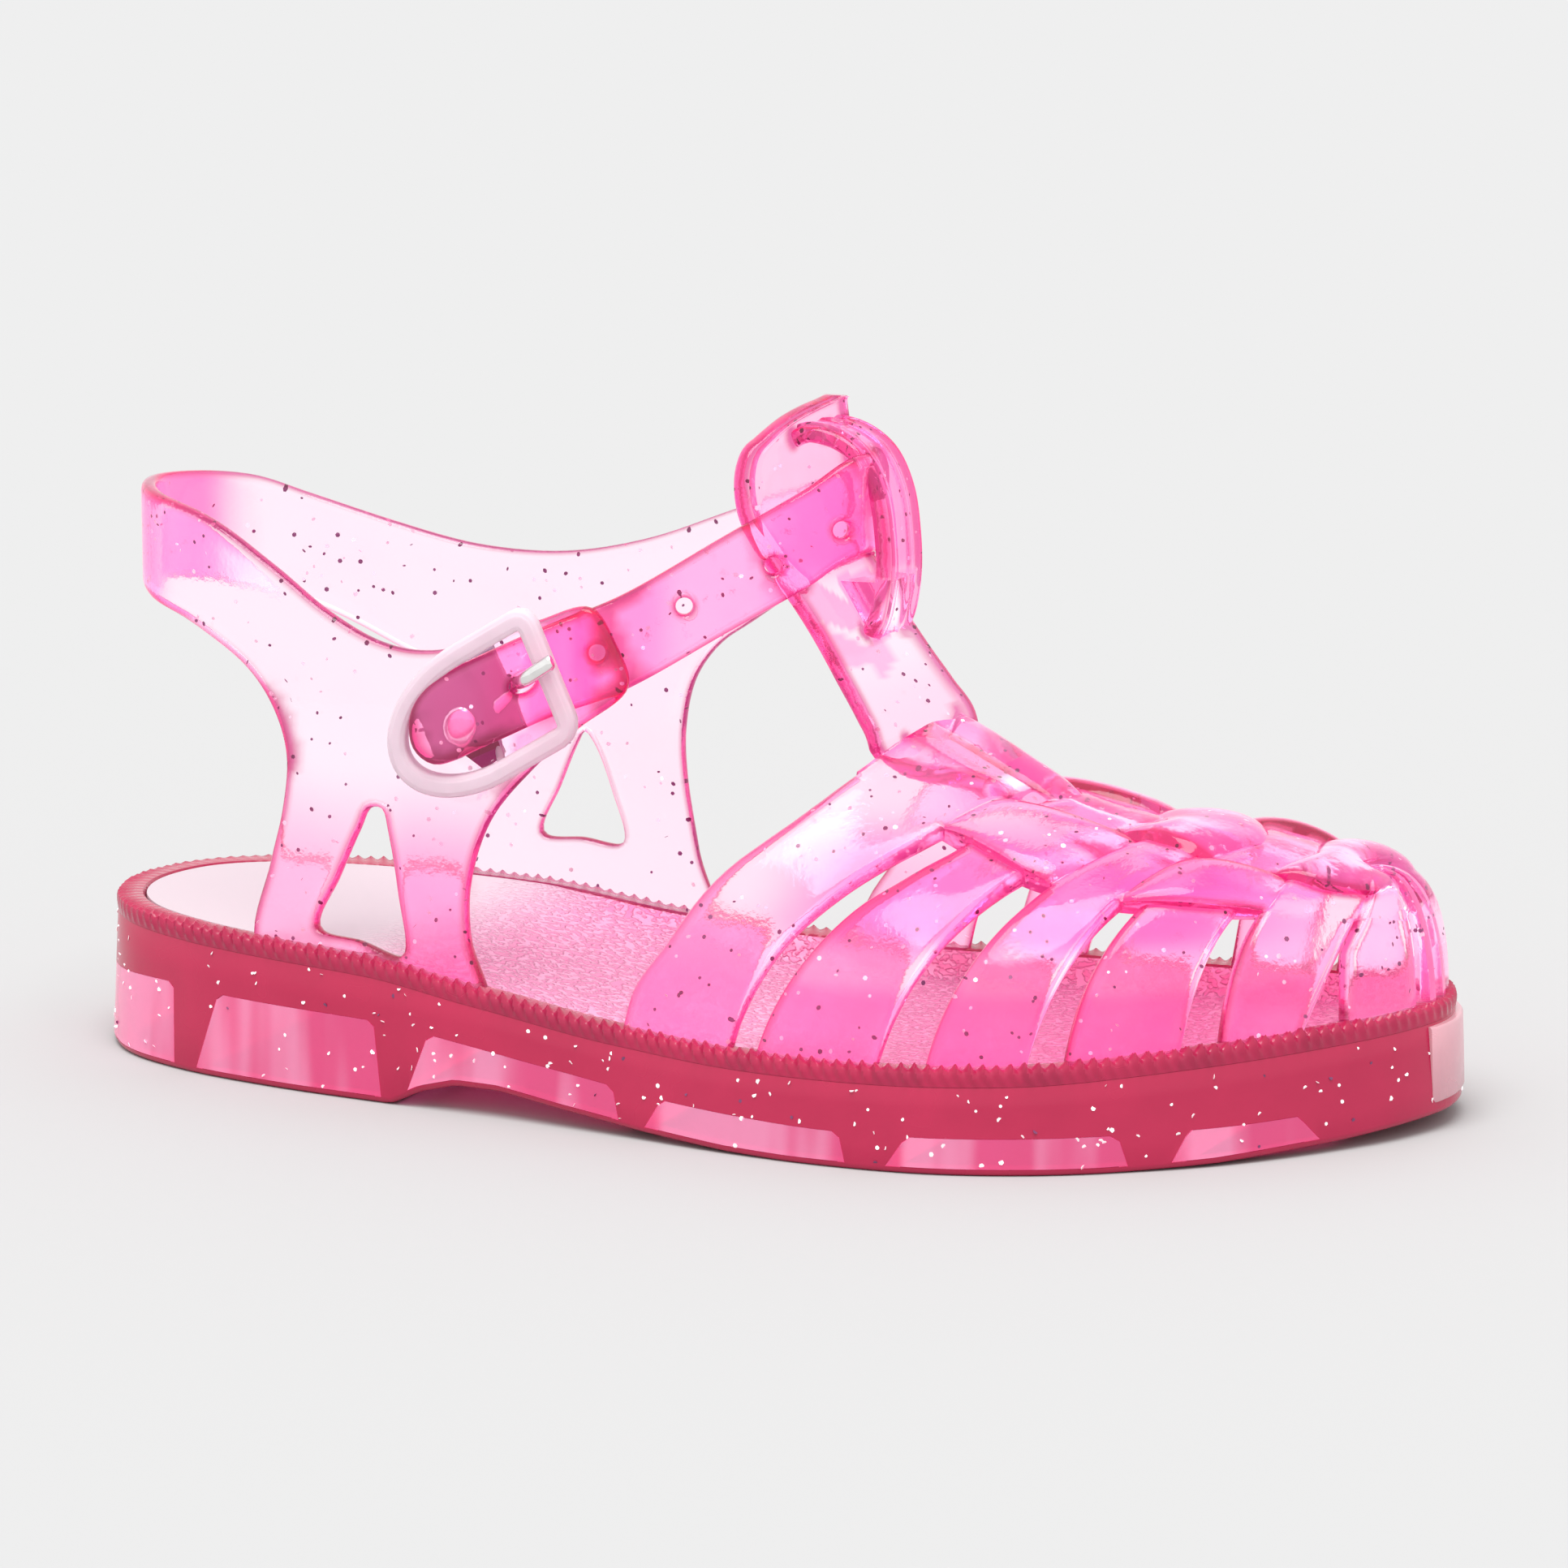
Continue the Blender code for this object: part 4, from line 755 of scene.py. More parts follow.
def woven_cage(wall, sizes, edge):
    """Woven forefoot as one wall with gaps, its strips raised and the edges of its straps round."""
    band, t, lane, u, station, across, cells, shape = weave_grid()
    count = len(CROSS_STRAPS)
    lines = strap_lines(across)
    pick = np.arange(len(band))
    width = (lines[band + 1, pick] - lines[band, pick]) * np.where(np.abs(across) > 0.5, 1.15, 1.0)
    near = np.minimum(t, 1 - t) * width
    free = (band % 2 == 0) & (band <= 2 * count) & ((lane == 0) | (lane == 6))
    half = wall / 2 * np.where(free, round_edge(near, edge, EDGE_FLAT), 1.0)
    half = np.where((band % 2 == 1) & ((lane == 0) | (lane == 6)), wall / 2 * EDGE_FLAT, half)
    centre, normal = fore_surface(station, across), fore_normal(station, across)
    relief = weave_relief(band, t, lane, u, station, across, sizes)
    outer = centre + normal * (half + relief)[:, None]
    inner = centre - normal * half[:, None]
    step = np.abs(np.diff(relief.reshape(shape), axis=1)) > EDGE_STEP
    border = np.zeros(shape, bool)
    border[:, :-1] |= step
    border[:, 1:] |= step
    side_edge = (near < 1e-6) & (band <= 2 * count) & ((lane == 0) | (lane == 6))
    edges = np.vstack([outer[side_edge | border.ravel()], inner[side_edge]])
    return thick_sheet(outer, inner, cells, centre), edges


# Ankle sheet
SHEET_DENSE = spline(SHEET_ROWS, 24, False)
SHEET_LENGTH = arc_lengths(SHEET_DENSE[:, 2:])
BACK_AT = int(np.argmin(SHEET_DENSE[:, 2]))
APEX_AT = int(np.argmax(np.where(np.arange(len(SHEET_DENSE)) > BACK_AT, SHEET_DENSE[:, 2], -1e9)))


def sheet_along(section, x):
    """Length along the ankle sheet at an x of one of its three sections."""
    lo, hi = ((0, BACK_AT), (BACK_AT, APEX_AT), (APEX_AT, len(SHEET_DENSE) - 1))[section]
    xs, ss = SHEET_DENSE[lo:hi + 1, 2], SHEET_LENGTH[lo:hi + 1]
    if section != MEDIAL:
        xs, ss = xs[::-1], ss[::-1]
    return float(np.interp(x, xs, ss))


def sheet_surface(along, z):
    lean = ramp(z, LEAN_FROM, LEAN_TO)
    at = [np.interp(along, SHEET_LENGTH, SHEET_DENSE[:, k]) for k in range(4)]
    return np.stack([at[0] + (at[2] - at[0]) * lean, at[1] + (at[3] - at[1]) * lean, z], 1)


def sheet_normal(along, z):
    t = sheet_surface(along + 0.8, z) - sheet_surface(along - 0.8, z)
    up = sheet_surface(along, z + 0.5) - sheet_surface(along, z - 0.5)
    n = np.cross(up, t)
    return n / np.linalg.norm(n, axis=1)[:, None]


def oval(middle, long, short, slope, count):
    turn = full_turn(count)
    c, d = math.cos(math.radians(slope)), math.sin(math.radians(slope))
    ring = np.stack([long * np.cos(turn), short * np.sin(turn)], 1)
    return np.array(middle) + ring @ np.array([[c, d], [-d, c]])


def ankle_sheet(wall, edge, spacing):
    """Both quarters, heel band and long strap as one wall with round edges."""
    corners = []
    for section, x, z in SHEET_OUTLINE:
        corners.append((sheet_along(section, x), z if z is not None else rim_z(x) - FOOT_SINK))
    curve = spline(corners, 8, True)
    pieces = []
    for i, row in enumerate(SHEET_OUTLINE):
        after = SHEET_OUTLINE[(i + 1) % len(SHEET_OUTLINE)]
        if row[2] is None and after[2] is None:
            xs = np.linspace(row[1], after[1], 25)[:-1]
            pieces.append(np.array([(sheet_along(row[0], x), rim_z(x) - FOOT_SINK) for x in xs]))
        else:
            pieces.append(curve[i * 8:(i + 1) * 8])
    outline = resample_ring(np.vstack(pieces), 0.8)
    holes = []
    for section, points in SHEET_WINDOWS:
        ring = spline([(sheet_along(section, x), z) for x, z in points], 8, True)
        holes.append(resample_ring(ring, 0.7))
    for x, z in STRAP_HOLES:
        holes.append(oval((sheet_along(NEAR, x), z), HOLE_RADIUS, HOLE_RADIUS, 0, 20))
    x, z, long, short, slope = USED_HOLE
    holes.append(oval((sheet_along(NEAR, x), z), long, short, slope, 30))
    flat, faces = sheet_mesh(outline, holes, (0.1, 0.28, 0.55, 0.95), spacing)
    away = np.full(len(flat), 1e9)
    for poly in [outline] + holes:
        away = np.minimum(away, distance_to(flat, poly))
    half = wall / 2 * round_edge(away, edge, EDGE_FLAT)
    centre, normal = sheet_surface(flat[:, 0], flat[:, 1]), sheet_normal(flat[:, 0], flat[:, 1])
    outer, inner = centre + normal * half[:, None], centre - normal * half[:, None]
    border = away < 0.02
    return thick_sheet(outer, inner, faces, centre), np.vstack([outer[border], inner[border]])


def strap_section(half, thick, corner, rounding, beads):
    """Closed section of a strap: across, thickness; crowned on top; beads are pairs of place and height."""
    corner = min(corner, half * 0.8)
    bend = np.linspace(0, math.pi / 2, 5)
    left = np.stack([-(half - corner) - corner * np.cos(bend), thick / 2 - corner + corner * np.sin(bend)], 1)
    x = np.linspace(-(half - corner), half - corner, 41)[1:-1]
    ridge = 0.0
    for place, height in beads:
        ridge = ridge + height * np.exp(-((x - place * (half - corner)) / 0.55)**2)
    top = np.stack([x, thick / 2 + rounding * crown((x / (half - corner) + 1) / 2) + ridge], 1)
    upper = np.vstack([left, top, (left * [-1, 1])[::-1]])
    x = x[::4]
    under = np.stack([x, thick / 2 + 0.04 * crown((x / (half - corner) + 1) / 2)], 1)
    lower = np.vstack([left, under, (left * [-1, 1])[::-1]])
    return np.vstack([upper, (lower * [1, -1])[::-1]])


def ribbon(centres, halves, wide, thick, rounding, beads, shifts):
    """Strap along a line of centres; wide is the direction of its width, shifts move it that way."""
    tangent = np.gradient(centres, axis=0)
    tangent /= np.linalg.norm(tangent, axis=1)[:, None]
    wide = wide - tangent * np.sum(wide * tangent, 1)[:, None]
    wide /= np.linalg.norm(wide, axis=1)[:, None]
    face = np.cross(wide, tangent)
    sections, edges = [], []
    for c, h, w, n, b, s in zip(centres, halves, wide, face, beads, shifts):
        shape = strap_section(h, thick, STRAP_CORNER, rounding, b)
        sections.append(c + w * (shape[:, :1] + s) + n * shape[:, 1:])
        border = np.abs(shape[:, 0]) > h - 0.4
        for place, height in b:
            on_bead = np.abs(shape[:, 0] - place * (h - STRAP_CORNER)) < 0.3
            border |= on_bead & (shape[:, 1] > 0) & (height > 0.55)
        edges.append(sections[-1][border])
    return ring_of_sections(sections, False), np.vstack(edges)


def tbar_strip(wall):
    rows = spline(TBAR_ROWS, 8, False)
    turn = np.radians(rows[:, 4])
    wide = np.stack([np.sin(turn), np.cos(turn), np.zeros(len(turn))], 1)
    lobe = np.clip((rows[:, 2] - 60) / 6, 0, 1) * 0.5
    beads = [((-0.95, b), (0.95, b)) for b in lobe]
    return ribbon(rows[:, :3], rows[:, 3], wide, wall + 0.4, 0.35, beads, rows[:, 5])


def loop_strip(wall):
    rows = spline(LOOP_ROWS, 10, False)
    wide = np.tile([LOOP_SLANT, 1.0, 0.0], (len(rows), 1))
    beads = [((-0.9, 0.35), (0.2, 0.35), (0.9, 0.35))] * len(rows)
    return ribbon(rows, np.full(len(rows), LOOP_HALF), wide, wall + 0.1, 0.1, beads, np.zeros(len(rows)))


def loop_gusset():
    """Solid web between the T-bar and the foot of the loop."""
    sections = []
    for y in np.linspace(LOOP_MIDDLE - LOOP_HALF + 0.3, LOOP_MIDDLE + LOOP_HALF - 0.3, 8):
        sections.append(np.array([(x + LOOP_SLANT * y, y, z) for x, z in GUSSET]))
    return ring_of_sections(sections, False)


def knurled_welt(pitch, depth, slant):
    """Ring under all strap feet with slanted teeth along its outer edge."""
    teeth = int(round(arc_lengths(np.vstack([RIM_LOOP, RIM_LOOP[:1]]))[-1] / pitch))
    loop = resample(np.vstack([RIM_LOOP, RIM_LOOP[:1]]), teeth * 8 + 1)[:-1]
    normal = ring_normals(loop)
    length = np.arange(len(loop)) / 8
    strength = (0.5 + 0.5 * ramp(loop[:, 1], 8, -8)) * (0.3 + 0.7 * ramp(loop[:, 0], 3, 20))
    levels = []
    for k, row in enumerate(KNURL_ROWS):
        value = dict(zip(KNURL_COLUMNS, row))
        flat = loop + normal * value["inside"]
        phase = (length + slant * k) % 1
        uneven = 0.85 + 0.3 * np.sin(np.floor(length + slant * k) * 2.4)**2
        tooth = depth * uneven * strength * (1 - np.abs(2 * phase - 1))**1.4
        flat = flat - normal * (tooth * value["out"])[:, None]
        height = rim_z(loop[:, 0]) - value["drop"] + tooth * value["up"]
        levels.append(np.column_stack([flat, height]))
    return ring_of_sections(np.stack(levels, 1), True)


def wall_levels(top):
    """Loops of the outer wall from the ground over its round foot up to a height."""
    levels = []
    for turn in np.linspace(0, math.pi / 2, 5):
        levels.append(sole_loop(SOLE_ROUND * (1 - math.sin(turn)) - SOLE_FLARE,
                                lambda x, up=SOLE_ROUND * (1 - math.cos(turn)): ground_z(x) + up))
    for share in (0.25, 0.5, 0.75, 1.0):
        levels.append(wall_loop(lambda x, s=share: (ground_z(x) + SOLE_ROUND) * (1 - s) + top(x) * s))
    return levels


def sole_core():
    """Whole sole before its pockets and windows are cut."""
    levels = wall_levels(lambda x: ledge_z(x) - 0.1)
    levels += [sole_loop(0.05, ledge_z), sole_loop(BED_EDGE - 0.1, ledge_z),
               sole_loop(BED_EDGE, lambda x: bed_rim_z(x) - INSOLE_THICK), sole_loop(BED_EDGE + 2.6, floor_z)]
    return stack_of_loops(levels)


def footbed_bowl():
    """Footbed plate whose border rises to the welt."""
    levels = [sole_loop(BED_EDGE + 2.6, lambda x: floor_z(x) + 0.1),
              sole_loop(BED_EDGE + 0.1, lambda x: bed_rim_z(x) - INSOLE_THICK + 0.15),
              sole_loop(BED_EDGE + 0.1, lambda x: bed_rim_z(x) - 0.1)]
    for inset, share in BED_SLOPE:
        levels.append(sole_loop(BED_EDGE + inset, lambda x, s=share: bed_rim_z(x) * (1 - s) + bed_z(x) * s))
    return stack_of_loops(levels)


def sole_pockets():
    """Cutters for the pockets inside the wall, wider towards the ground."""
    lat, med = side_paths(SKIRT)
    for low_from, low_to, high_from, high_to in POCKETS:
        rings = []
        for up, share, inset in ((-14.0, -0.4, 0.0), (-0.5, 1.0, 0.0), (-0.15, 1.0, 0.2), (0.0, 1.0, 0.5)):
            xs = np.linspace(low_from + (high_from - low_from) * share + inset,
                             low_to + (high_to - low_to) * share - inset, 24)
            low = np.stack([xs, np.interp(xs, lat[:, 0], lat[:, 1])], 1)
            high = np.stack([xs, np.interp(xs, med[:, 0], med[:, 1])], 1)
            flat = np.vstack([low, high[::-1]])
            rings.append(np.column_stack([flat, skirt_z(flat[:, 0]) + POCKET_RELIEF + up]))
        yield ring_of_sections(rings, False)


def sole_windows(gap):
    """Cutters right across the sole, one for each pocket; gap shrinks them for the panes."""
    for number, (low_from, low_to, high_from, high_to) in enumerate(POCKETS):
        if number == 0:
            low_from = high_from = WINDOW_BEHIND
        xs = np.linspace(low_from + gap, low_to - gap, 30)
        low = np.stack([xs, ground_z(xs) + WINDOW_BAR + gap], 1)
        xs = np.linspace(high_from + gap, high_to - gap, 30)
        high = np.stack([xs, skirt_z(xs) - gap], 1)
        high[[0, -1], 1] -= WINDOW_CORNER
        high[0, 0] -= WINDOW_CORNER * 0.25
        high[-1, 0] += WINDOW_CORNER * 0.25
        shape = np.vstack([low, high[::-1]])
        yield ring_of_sections([np.column_stack([shape[:, 0], np.full(len(shape), y), shape[:, 1]])
                                for y in (-60.0, 60.0)], False)


def sole_skirt():
    """Wall round the pockets, from the ground to the slab, from which the panes are cut."""
    levels = [sole_loop(SKIRT, ground_z)] + wall_levels(skirt_z) + [sole_loop(SKIRT, skirt_z)]
    return ring_of_sections(np.stack(levels, 1), True)


def window_panes():
    """All panes of the wall as one mesh object."""
    work = bmesh.new()
    for shape in sole_windows(PANE_GAP):
        pane = boolean(new_mesh_object("pane", *sole_skirt()), new_mesh_object("window", *shape), "INTERSECT")
        work.from_mesh(pane.data)
        bpy.data.objects.remove(pane, do_unlink=True)
    mesh = bpy.data.meshes.new("window_panes")
    work.to_mesh(mesh)
    work.free()
    return new_object("window_panes", mesh)


def toe_bumper():
    """Pale pad on the wall at the tip of the toe."""
    first = int(np.argmin(np.linalg.norm(RIM_LOOP - BUMPER_FROM, axis=1)))
    last = int(np.argmin(np.linalg.norm(RIM_LOOP - BUMPER_TO, axis=1)))
    line = resample(RIM_LOOP[min(first, last):max(first, last) + 1], 30)
    tangent = np.gradient(line, axis=0)
    out = np.stack([tangent[:, 1], -tangent[:, 0]], 1) / np.linalg.norm(tangent, axis=1)[:, None]
    sections = []
    for i, (p, n) in enumerate(zip(line, out)):
        proud = BUMPER_PROUD * (0.55 if i in (0, len(line) - 1) else 1.0)
        top, low = ledge_z(p[0]) - 0.3, ground_z(p[0]) + 1.6
        shape = ((-0.4, top), (proud - 0.25, top), (proud, top - 0.3), (proud + 0.12, (top + low) / 2),
                 (proud + 0.2, low + 0.4), (proud - 0.05, low), (-0.4, low))
        sections.append(np.array([(*(p + n * d), z) for d, z in shape]))
    return ring_of_sections(sections, False)


def buckle_axes():
    """Middle of the flat bar, directions along, across and out of the buckle, and its length."""
    top, low, far = np.array(BUCKLE_TOP), np.array(BUCKLE_LOW), np.array(BUCKLE_ROUND)
    flat = (top + low) / 2
    side = (top - low) / np.linalg.norm(top - low)
    along = far - flat
    length = np.linalg.norm(along)
    along /= length
    face = np.cross(side, along)
    face /= -np.linalg.norm(face) * np.sign(face[1])
    return flat, along, side, face, length


def in_buckle(points):
    """Points given along, across and out of the buckle's plane, in working millimetres."""
    flat, along, side, face, _ = buckle_axes()
    p = np.atleast_2d(np.asarray(points, float))
    return flat + p[:, :1] * along + p[:, 1:2] * side + p[:, 2:] * face


def tube(path, radii, sides, flatten):
    """Round wire along a path in the buckle's plane coordinates; flatten squeezes it out of the plane."""
    rings = []
    for i, p in enumerate(path):
        d = path[min(i + 1, len(path) - 1)] - path[max(i - 1, 0)]
        d /= np.linalg.norm(d)
        across = np.array((0.0, 1.0, 0.0))
        up = np.cross(d, across)
        turn = full_turn(sides)
        ring = p + radii[i] * (np.cos(turn)[:, None] * across + flatten[i] * np.sin(turn)[:, None] * up)
        rings.append(in_buckle(ring))
    return ring_of_sections(rings, False)


def buckle_frame():
    """Ring of the buckle: flat bar with bent corners, round at its far end."""
    length = buckle_axes()[4]
    half, bar, bend = BUCKLE_HALF - BUCKLE_BAR, BUCKLE_BAR, BUCKLE_BEND
    path = []
    for side in (-1, 1):
        arc = []
        for turn in np.linspace(0, math.pi / 2, 7):
            arc.append((bar + bend * (1 - math.cos(turn)), side * (half - bend + bend * math.sin(turn))))
        path += arc[::-1] if side < 0 else arc
    start = length * BUCKLE_ROUND_FROM
    for turn in np.linspace(0, math.pi, 33):
        path.append((start + (length - bar - start) * math.sin(turn), half * math.cos(turn)))
    path = resample_ring(np.array(path), 0.7)
    shape = strap_section(bar, BUCKLE_THICK * 2, 0.55, 0.12, ())
    sections = []
    for p, n in zip(path, ring_normals(path)):
        sections.append(in_buckle(np.column_stack([p + shape[:, :1] * n, shape[:, 1]])))
    return ring_of_sections(sections, True)


def buckle_crossbar():
    """Bar across the buckle, bowed under the strap."""
    at, half = buckle_axes()[4] * CROSSBAR_AT, BUCKLE_HALF - BUCKLE_BAR
    turn = full_turn(16)
    along, out = at + CROSSBAR_RADIUS * np.cos(turn), CROSSBAR_RADIUS * np.sin(turn)
    rings = []
    for place in np.linspace(0, math.pi, 24):
        across = np.full(len(turn), -half * math.cos(place))
        under = CROSSBAR_DROP + CROSSBAR_BOW * math.sin(place)
        rings.append(in_buckle(np.stack([along, across, out - under], 1)))
    return ring_of_sections(rings, False)


def buckle_prong():
    """Wire prong from the crossbar up through the strap and over the flat bar."""
    lift = BUCKLE_THICK + PRONG_RADIUS + 0.1
    begin = buckle_axes()[4] * CROSSBAR_AT - CROSSBAR_RADIUS - PRONG_RADIUS
    rows = [(begin, -0.6, -3.0), (begin - 2.0, -0.2, -3.5), (7.2, 0.3, -3.2), (6.0, 0.7, -2.0),
            (4.6, 0.8, 0.1), (3.2, 0.9, lift - 0.2), (1.6, 1.0, lift + 0.15), (-0.6, 1.1, lift)]
    line = spline(rows, 8, False)
    radii = np.full(len(line), PRONG_RADIUS)
    radii[[0, -1]] *= 0.8
    flatten = np.interp(np.arange(len(line)), [0, len(line) * 0.7, len(line)], [1.0, 1.0, 0.8])
    return tube(line, radii, 18, flatten)


def buckle_tail():
    """Plate behind the buckle, under the strap's end."""
    plate = []
    for x in np.linspace(TAIL_FROM, TAIL_TO, 14):
        width = TAIL_HALF * math.sqrt(max(0.2, 1 - max(0.0, (x - 17.0) / 3.4)**2))
        shape = strap_section(width, 0.9, 0.3, 0.0, ())
        points = [np.full(len(shape), x), shape[:, 0] + TAIL_MIDDLE, shape[:, 1] - TAIL_DROP]
        plate.append(in_buckle(np.column_stack(points)))
    return ring_of_sections(plate, False)


def keeper_shadow_block():
    """Dark block under the tail: painted shadow of the tab and loop, a dark piece put where there is only
    shade.
    """
    levels = np.linspace(KEEPER_SHADOW_FROM, KEEPER_SHADOW_TO, 4)
    return ring_of_sections([in_buckle([(a, c, out) for a, c in KEEPER_SHADOW]) for out in levels], False)


def rivet_dome():
    """Head of the rivet on the tail."""
    along, across, under = RIVET_PLACE
    turn = full_turn(24)
    dome = []
    for height, radius in RIVET_ROWS:
        points = [along + radius * np.cos(turn), across + radius * np.sin(turn),
                  np.full(len(turn), height * 0.7 - under)]
        dome.append(in_buckle(np.stack(points, 1)))
    return ring_of_sections(dome, False)


def upper_pink(points):
    """How deep the pink of the upper is at each point."""
    x, y, z = points.T
    near = ramp(y, *NEAR_Y)
    legs = LEG_PINK * ramp(z, *LEG_Z) * near * ramp(x, *LEG_X) * (0.75 + 0.4 * ramp(x, *FRONT_LEG_X))
    heel = HEEL_PINK * ramp(x, *HEEL_X) * ramp(z, *HEEL_Z) * ramp(y, *HEEL_Y)
    front, toe = ramp(x, *FRONT_X), ramp(x, *TOE_X)
    low = ramp(z, *REAR_LOW_Z) * (1 - front) + ramp(z, *FRONT_LOW_Z) * front
    band = ramp(z, *BAND_FOOT_Z) * ramp(z, *BAND_HEAD_Z)
    cage = CAGE_PINK + CAGE_GAIN * front + HIGH_PINK * front * band
    cage = cage * (1 - 0.75 * toe) + LOW_PINK * low * (0.6 + 0.4 * near) * (1 - 0.35 * toe)
    cage = cage * ramp(x, *CAGE_X) * ramp(z, *CAGE_Z)
    path = SHEET_DENSE[APEX_AT:, 2:][::-1]
    reach, lowest, begin, end = STRAP_REACH
    on_strap = np.abs(y - np.interp(x, path[:, 0], path[:, 1])) < reach
    on_strap &= (z > lowest) & (x > begin) & (x < end)
    double = np.maximum(ramp(x, *DOUBLE_FRONT_X) * ramp(x, *DOUBLE_REAR_X), ramp(x, *DOUBLE_LOOP_X))
    strap = on_strap * (STRAP_PINK + DOUBLE_PINK * double)
    lobe = ramp(z, *LOBE_Z) * ramp(x, *LOBE_X) * (np.abs(y) < LOBE_REACH)
    loop = lobe * (LOBE_PINK + LOOP_PINK * ramp(x, *LOOP_X))
    return np.clip(np.max([legs, heel, cage, strap, loop], axis=0), 0, 1)


def paint_upper(mesh, edges):
    """Stores how near each point is to an edge and how deep its pink is."""
    points = working_points(mesh)
    tree = KDTree(len(edges))
    for number, point in enumerate(edges):
        tree.insert(point, number)
    tree.balance()
    away = np.array([tree.find(point)[2] for point in points])
    web = np.array(GUSSET)
    flat = np.stack([points[:, 0] - LOOP_SLANT * points[:, 1], points[:, 2]], 1)
    on_web = inside(flat, web) | (distance_to(flat, web) < 0.7)
    on_web &= np.abs(points[:, 1] - LOOP_MIDDLE) < LOOP_HALF
    # The tint reaches further on the buckle tab and the strap's tip, less far on the far side
    x, y, z = points.T
    tab = ramp(x, 70, 72) * ramp(x, 77, 75) * ramp(y, -12, -15)
    tip = ramp(x, 64, 60) * ramp(z, 48, 45) * ramp(y, -18, -21) * ramp(z, 36, 38)
    width = 1 - 0.25 * ramp(y, 4, 9) * ramp(x, 86, 80) + 0.8 * (tab + tip)
    tint = ramp(away, TINT_NONE * width, TINT_FULL * width)
    store(mesh, "edge_tint", np.where(on_web, np.minimum(tint, WEB_TINT), tint))
    store(mesh, "pink_depth", np.maximum(upper_pink(points), on_web))


# Shader node groups
def node_group(name, inputs, outputs):
    """Empty shader group with value and colour inputs; gives tree, input node and output node."""
    tree = bpy.data.node_groups.new(name, "ShaderNodeTree")
    for label, default in inputs:
        kind = "NodeSocketFloat" if isinstance(default, float) else "NodeSocketColor"
        socket = tree.interface.new_socket(label, in_out="INPUT", socket_type=kind)
        socket.default_value = default
    for label, kind in outputs:
        tree.interface.new_socket(label, in_out="OUTPUT", socket_type=kind)
    return tree, tree.nodes.new("NodeGroupInput"), tree.nodes.new("NodeGroupOutput")


def add_node(tree, kind, settings=None, values=None):
    node = tree.nodes.new(kind)
    for key, value in (settings or {}).items():
        setattr(node, key, value)
    for key, value in (values or {}).items():
        node.inputs[key].default_value = value
    return node


def mix_colours(tree, low=None, high=None):
    """Node that runs from one colour to the other by its factor."""
    mix = add_node(tree, "ShaderNodeMix", {"data_type": "RGBA"})
    for socket, colour in ((LOW, low), (HIGH, high)):
        if colour is not None:
            mix.inputs[socket].default_value = (*colour, 1.0)
    return mix


def moulded_surface_group():
    """Soft waviness and fine flow marks of a moulded face, and its changing roughness."""
    name = "moulded_surface"
    if name in bpy.data.node_groups:
        return bpy.data.node_groups[name]
    tree, given, out = node_group(name, (("Wave Scale", 120.0), ("Grain Scale", 1500.0), ("Grain Share", 0.2),
                                         ("Rough Low", 0.05), ("Rough High", 0.15)),
                                  (("Height", "NodeSocketFloat"), ("Roughness", "NodeSocketFloat")))
    place = add_node(tree, "ShaderNodeTexCoord")
    wave = add_node(tree, "ShaderNodeTexNoise", {"noise_dimensions": "3D"}, {"Detail": 2.0})
    grain = add_node(tree, "ShaderNodeTexNoise", {"noise_dimensions": "3D"}, {"Detail": 3.0})
    share = add_node(tree, "ShaderNodeMath", {"operation": "MULTIPLY"})
    total = add_node(tree, "ShaderNodeMath", {"operation": "ADD"})
    rough = add_node(tree, "ShaderNodeMapRange", None, {"From Min": 0.3, "From Max": 0.7})
    link = tree.links.new
    for node, scale in ((wave, "Wave Scale"), (grain, "Grain Scale")):
        link(place.outputs["Object"], node.inputs["Vector"])
        link(given.outputs[scale], node.inputs["Scale"])
    link(grain.outputs["Fac"], share.inputs[0])
    link(given.outputs["Grain Share"], share.inputs[1])
    link(wave.outputs["Fac"], total.inputs[0])
    link(share.outputs[0], total.inputs[1])
    link(wave.outputs["Fac"], rough.inputs["Value"])
    link(given.outputs["Rough Low"], rough.inputs["To Min"])
    link(given.outputs["Rough High"], rough.inputs["To Max"])
    link(total.outputs[0], out.inputs["Height"])
    link(rough.outputs[0], out.inputs["Roughness"])
    return tree


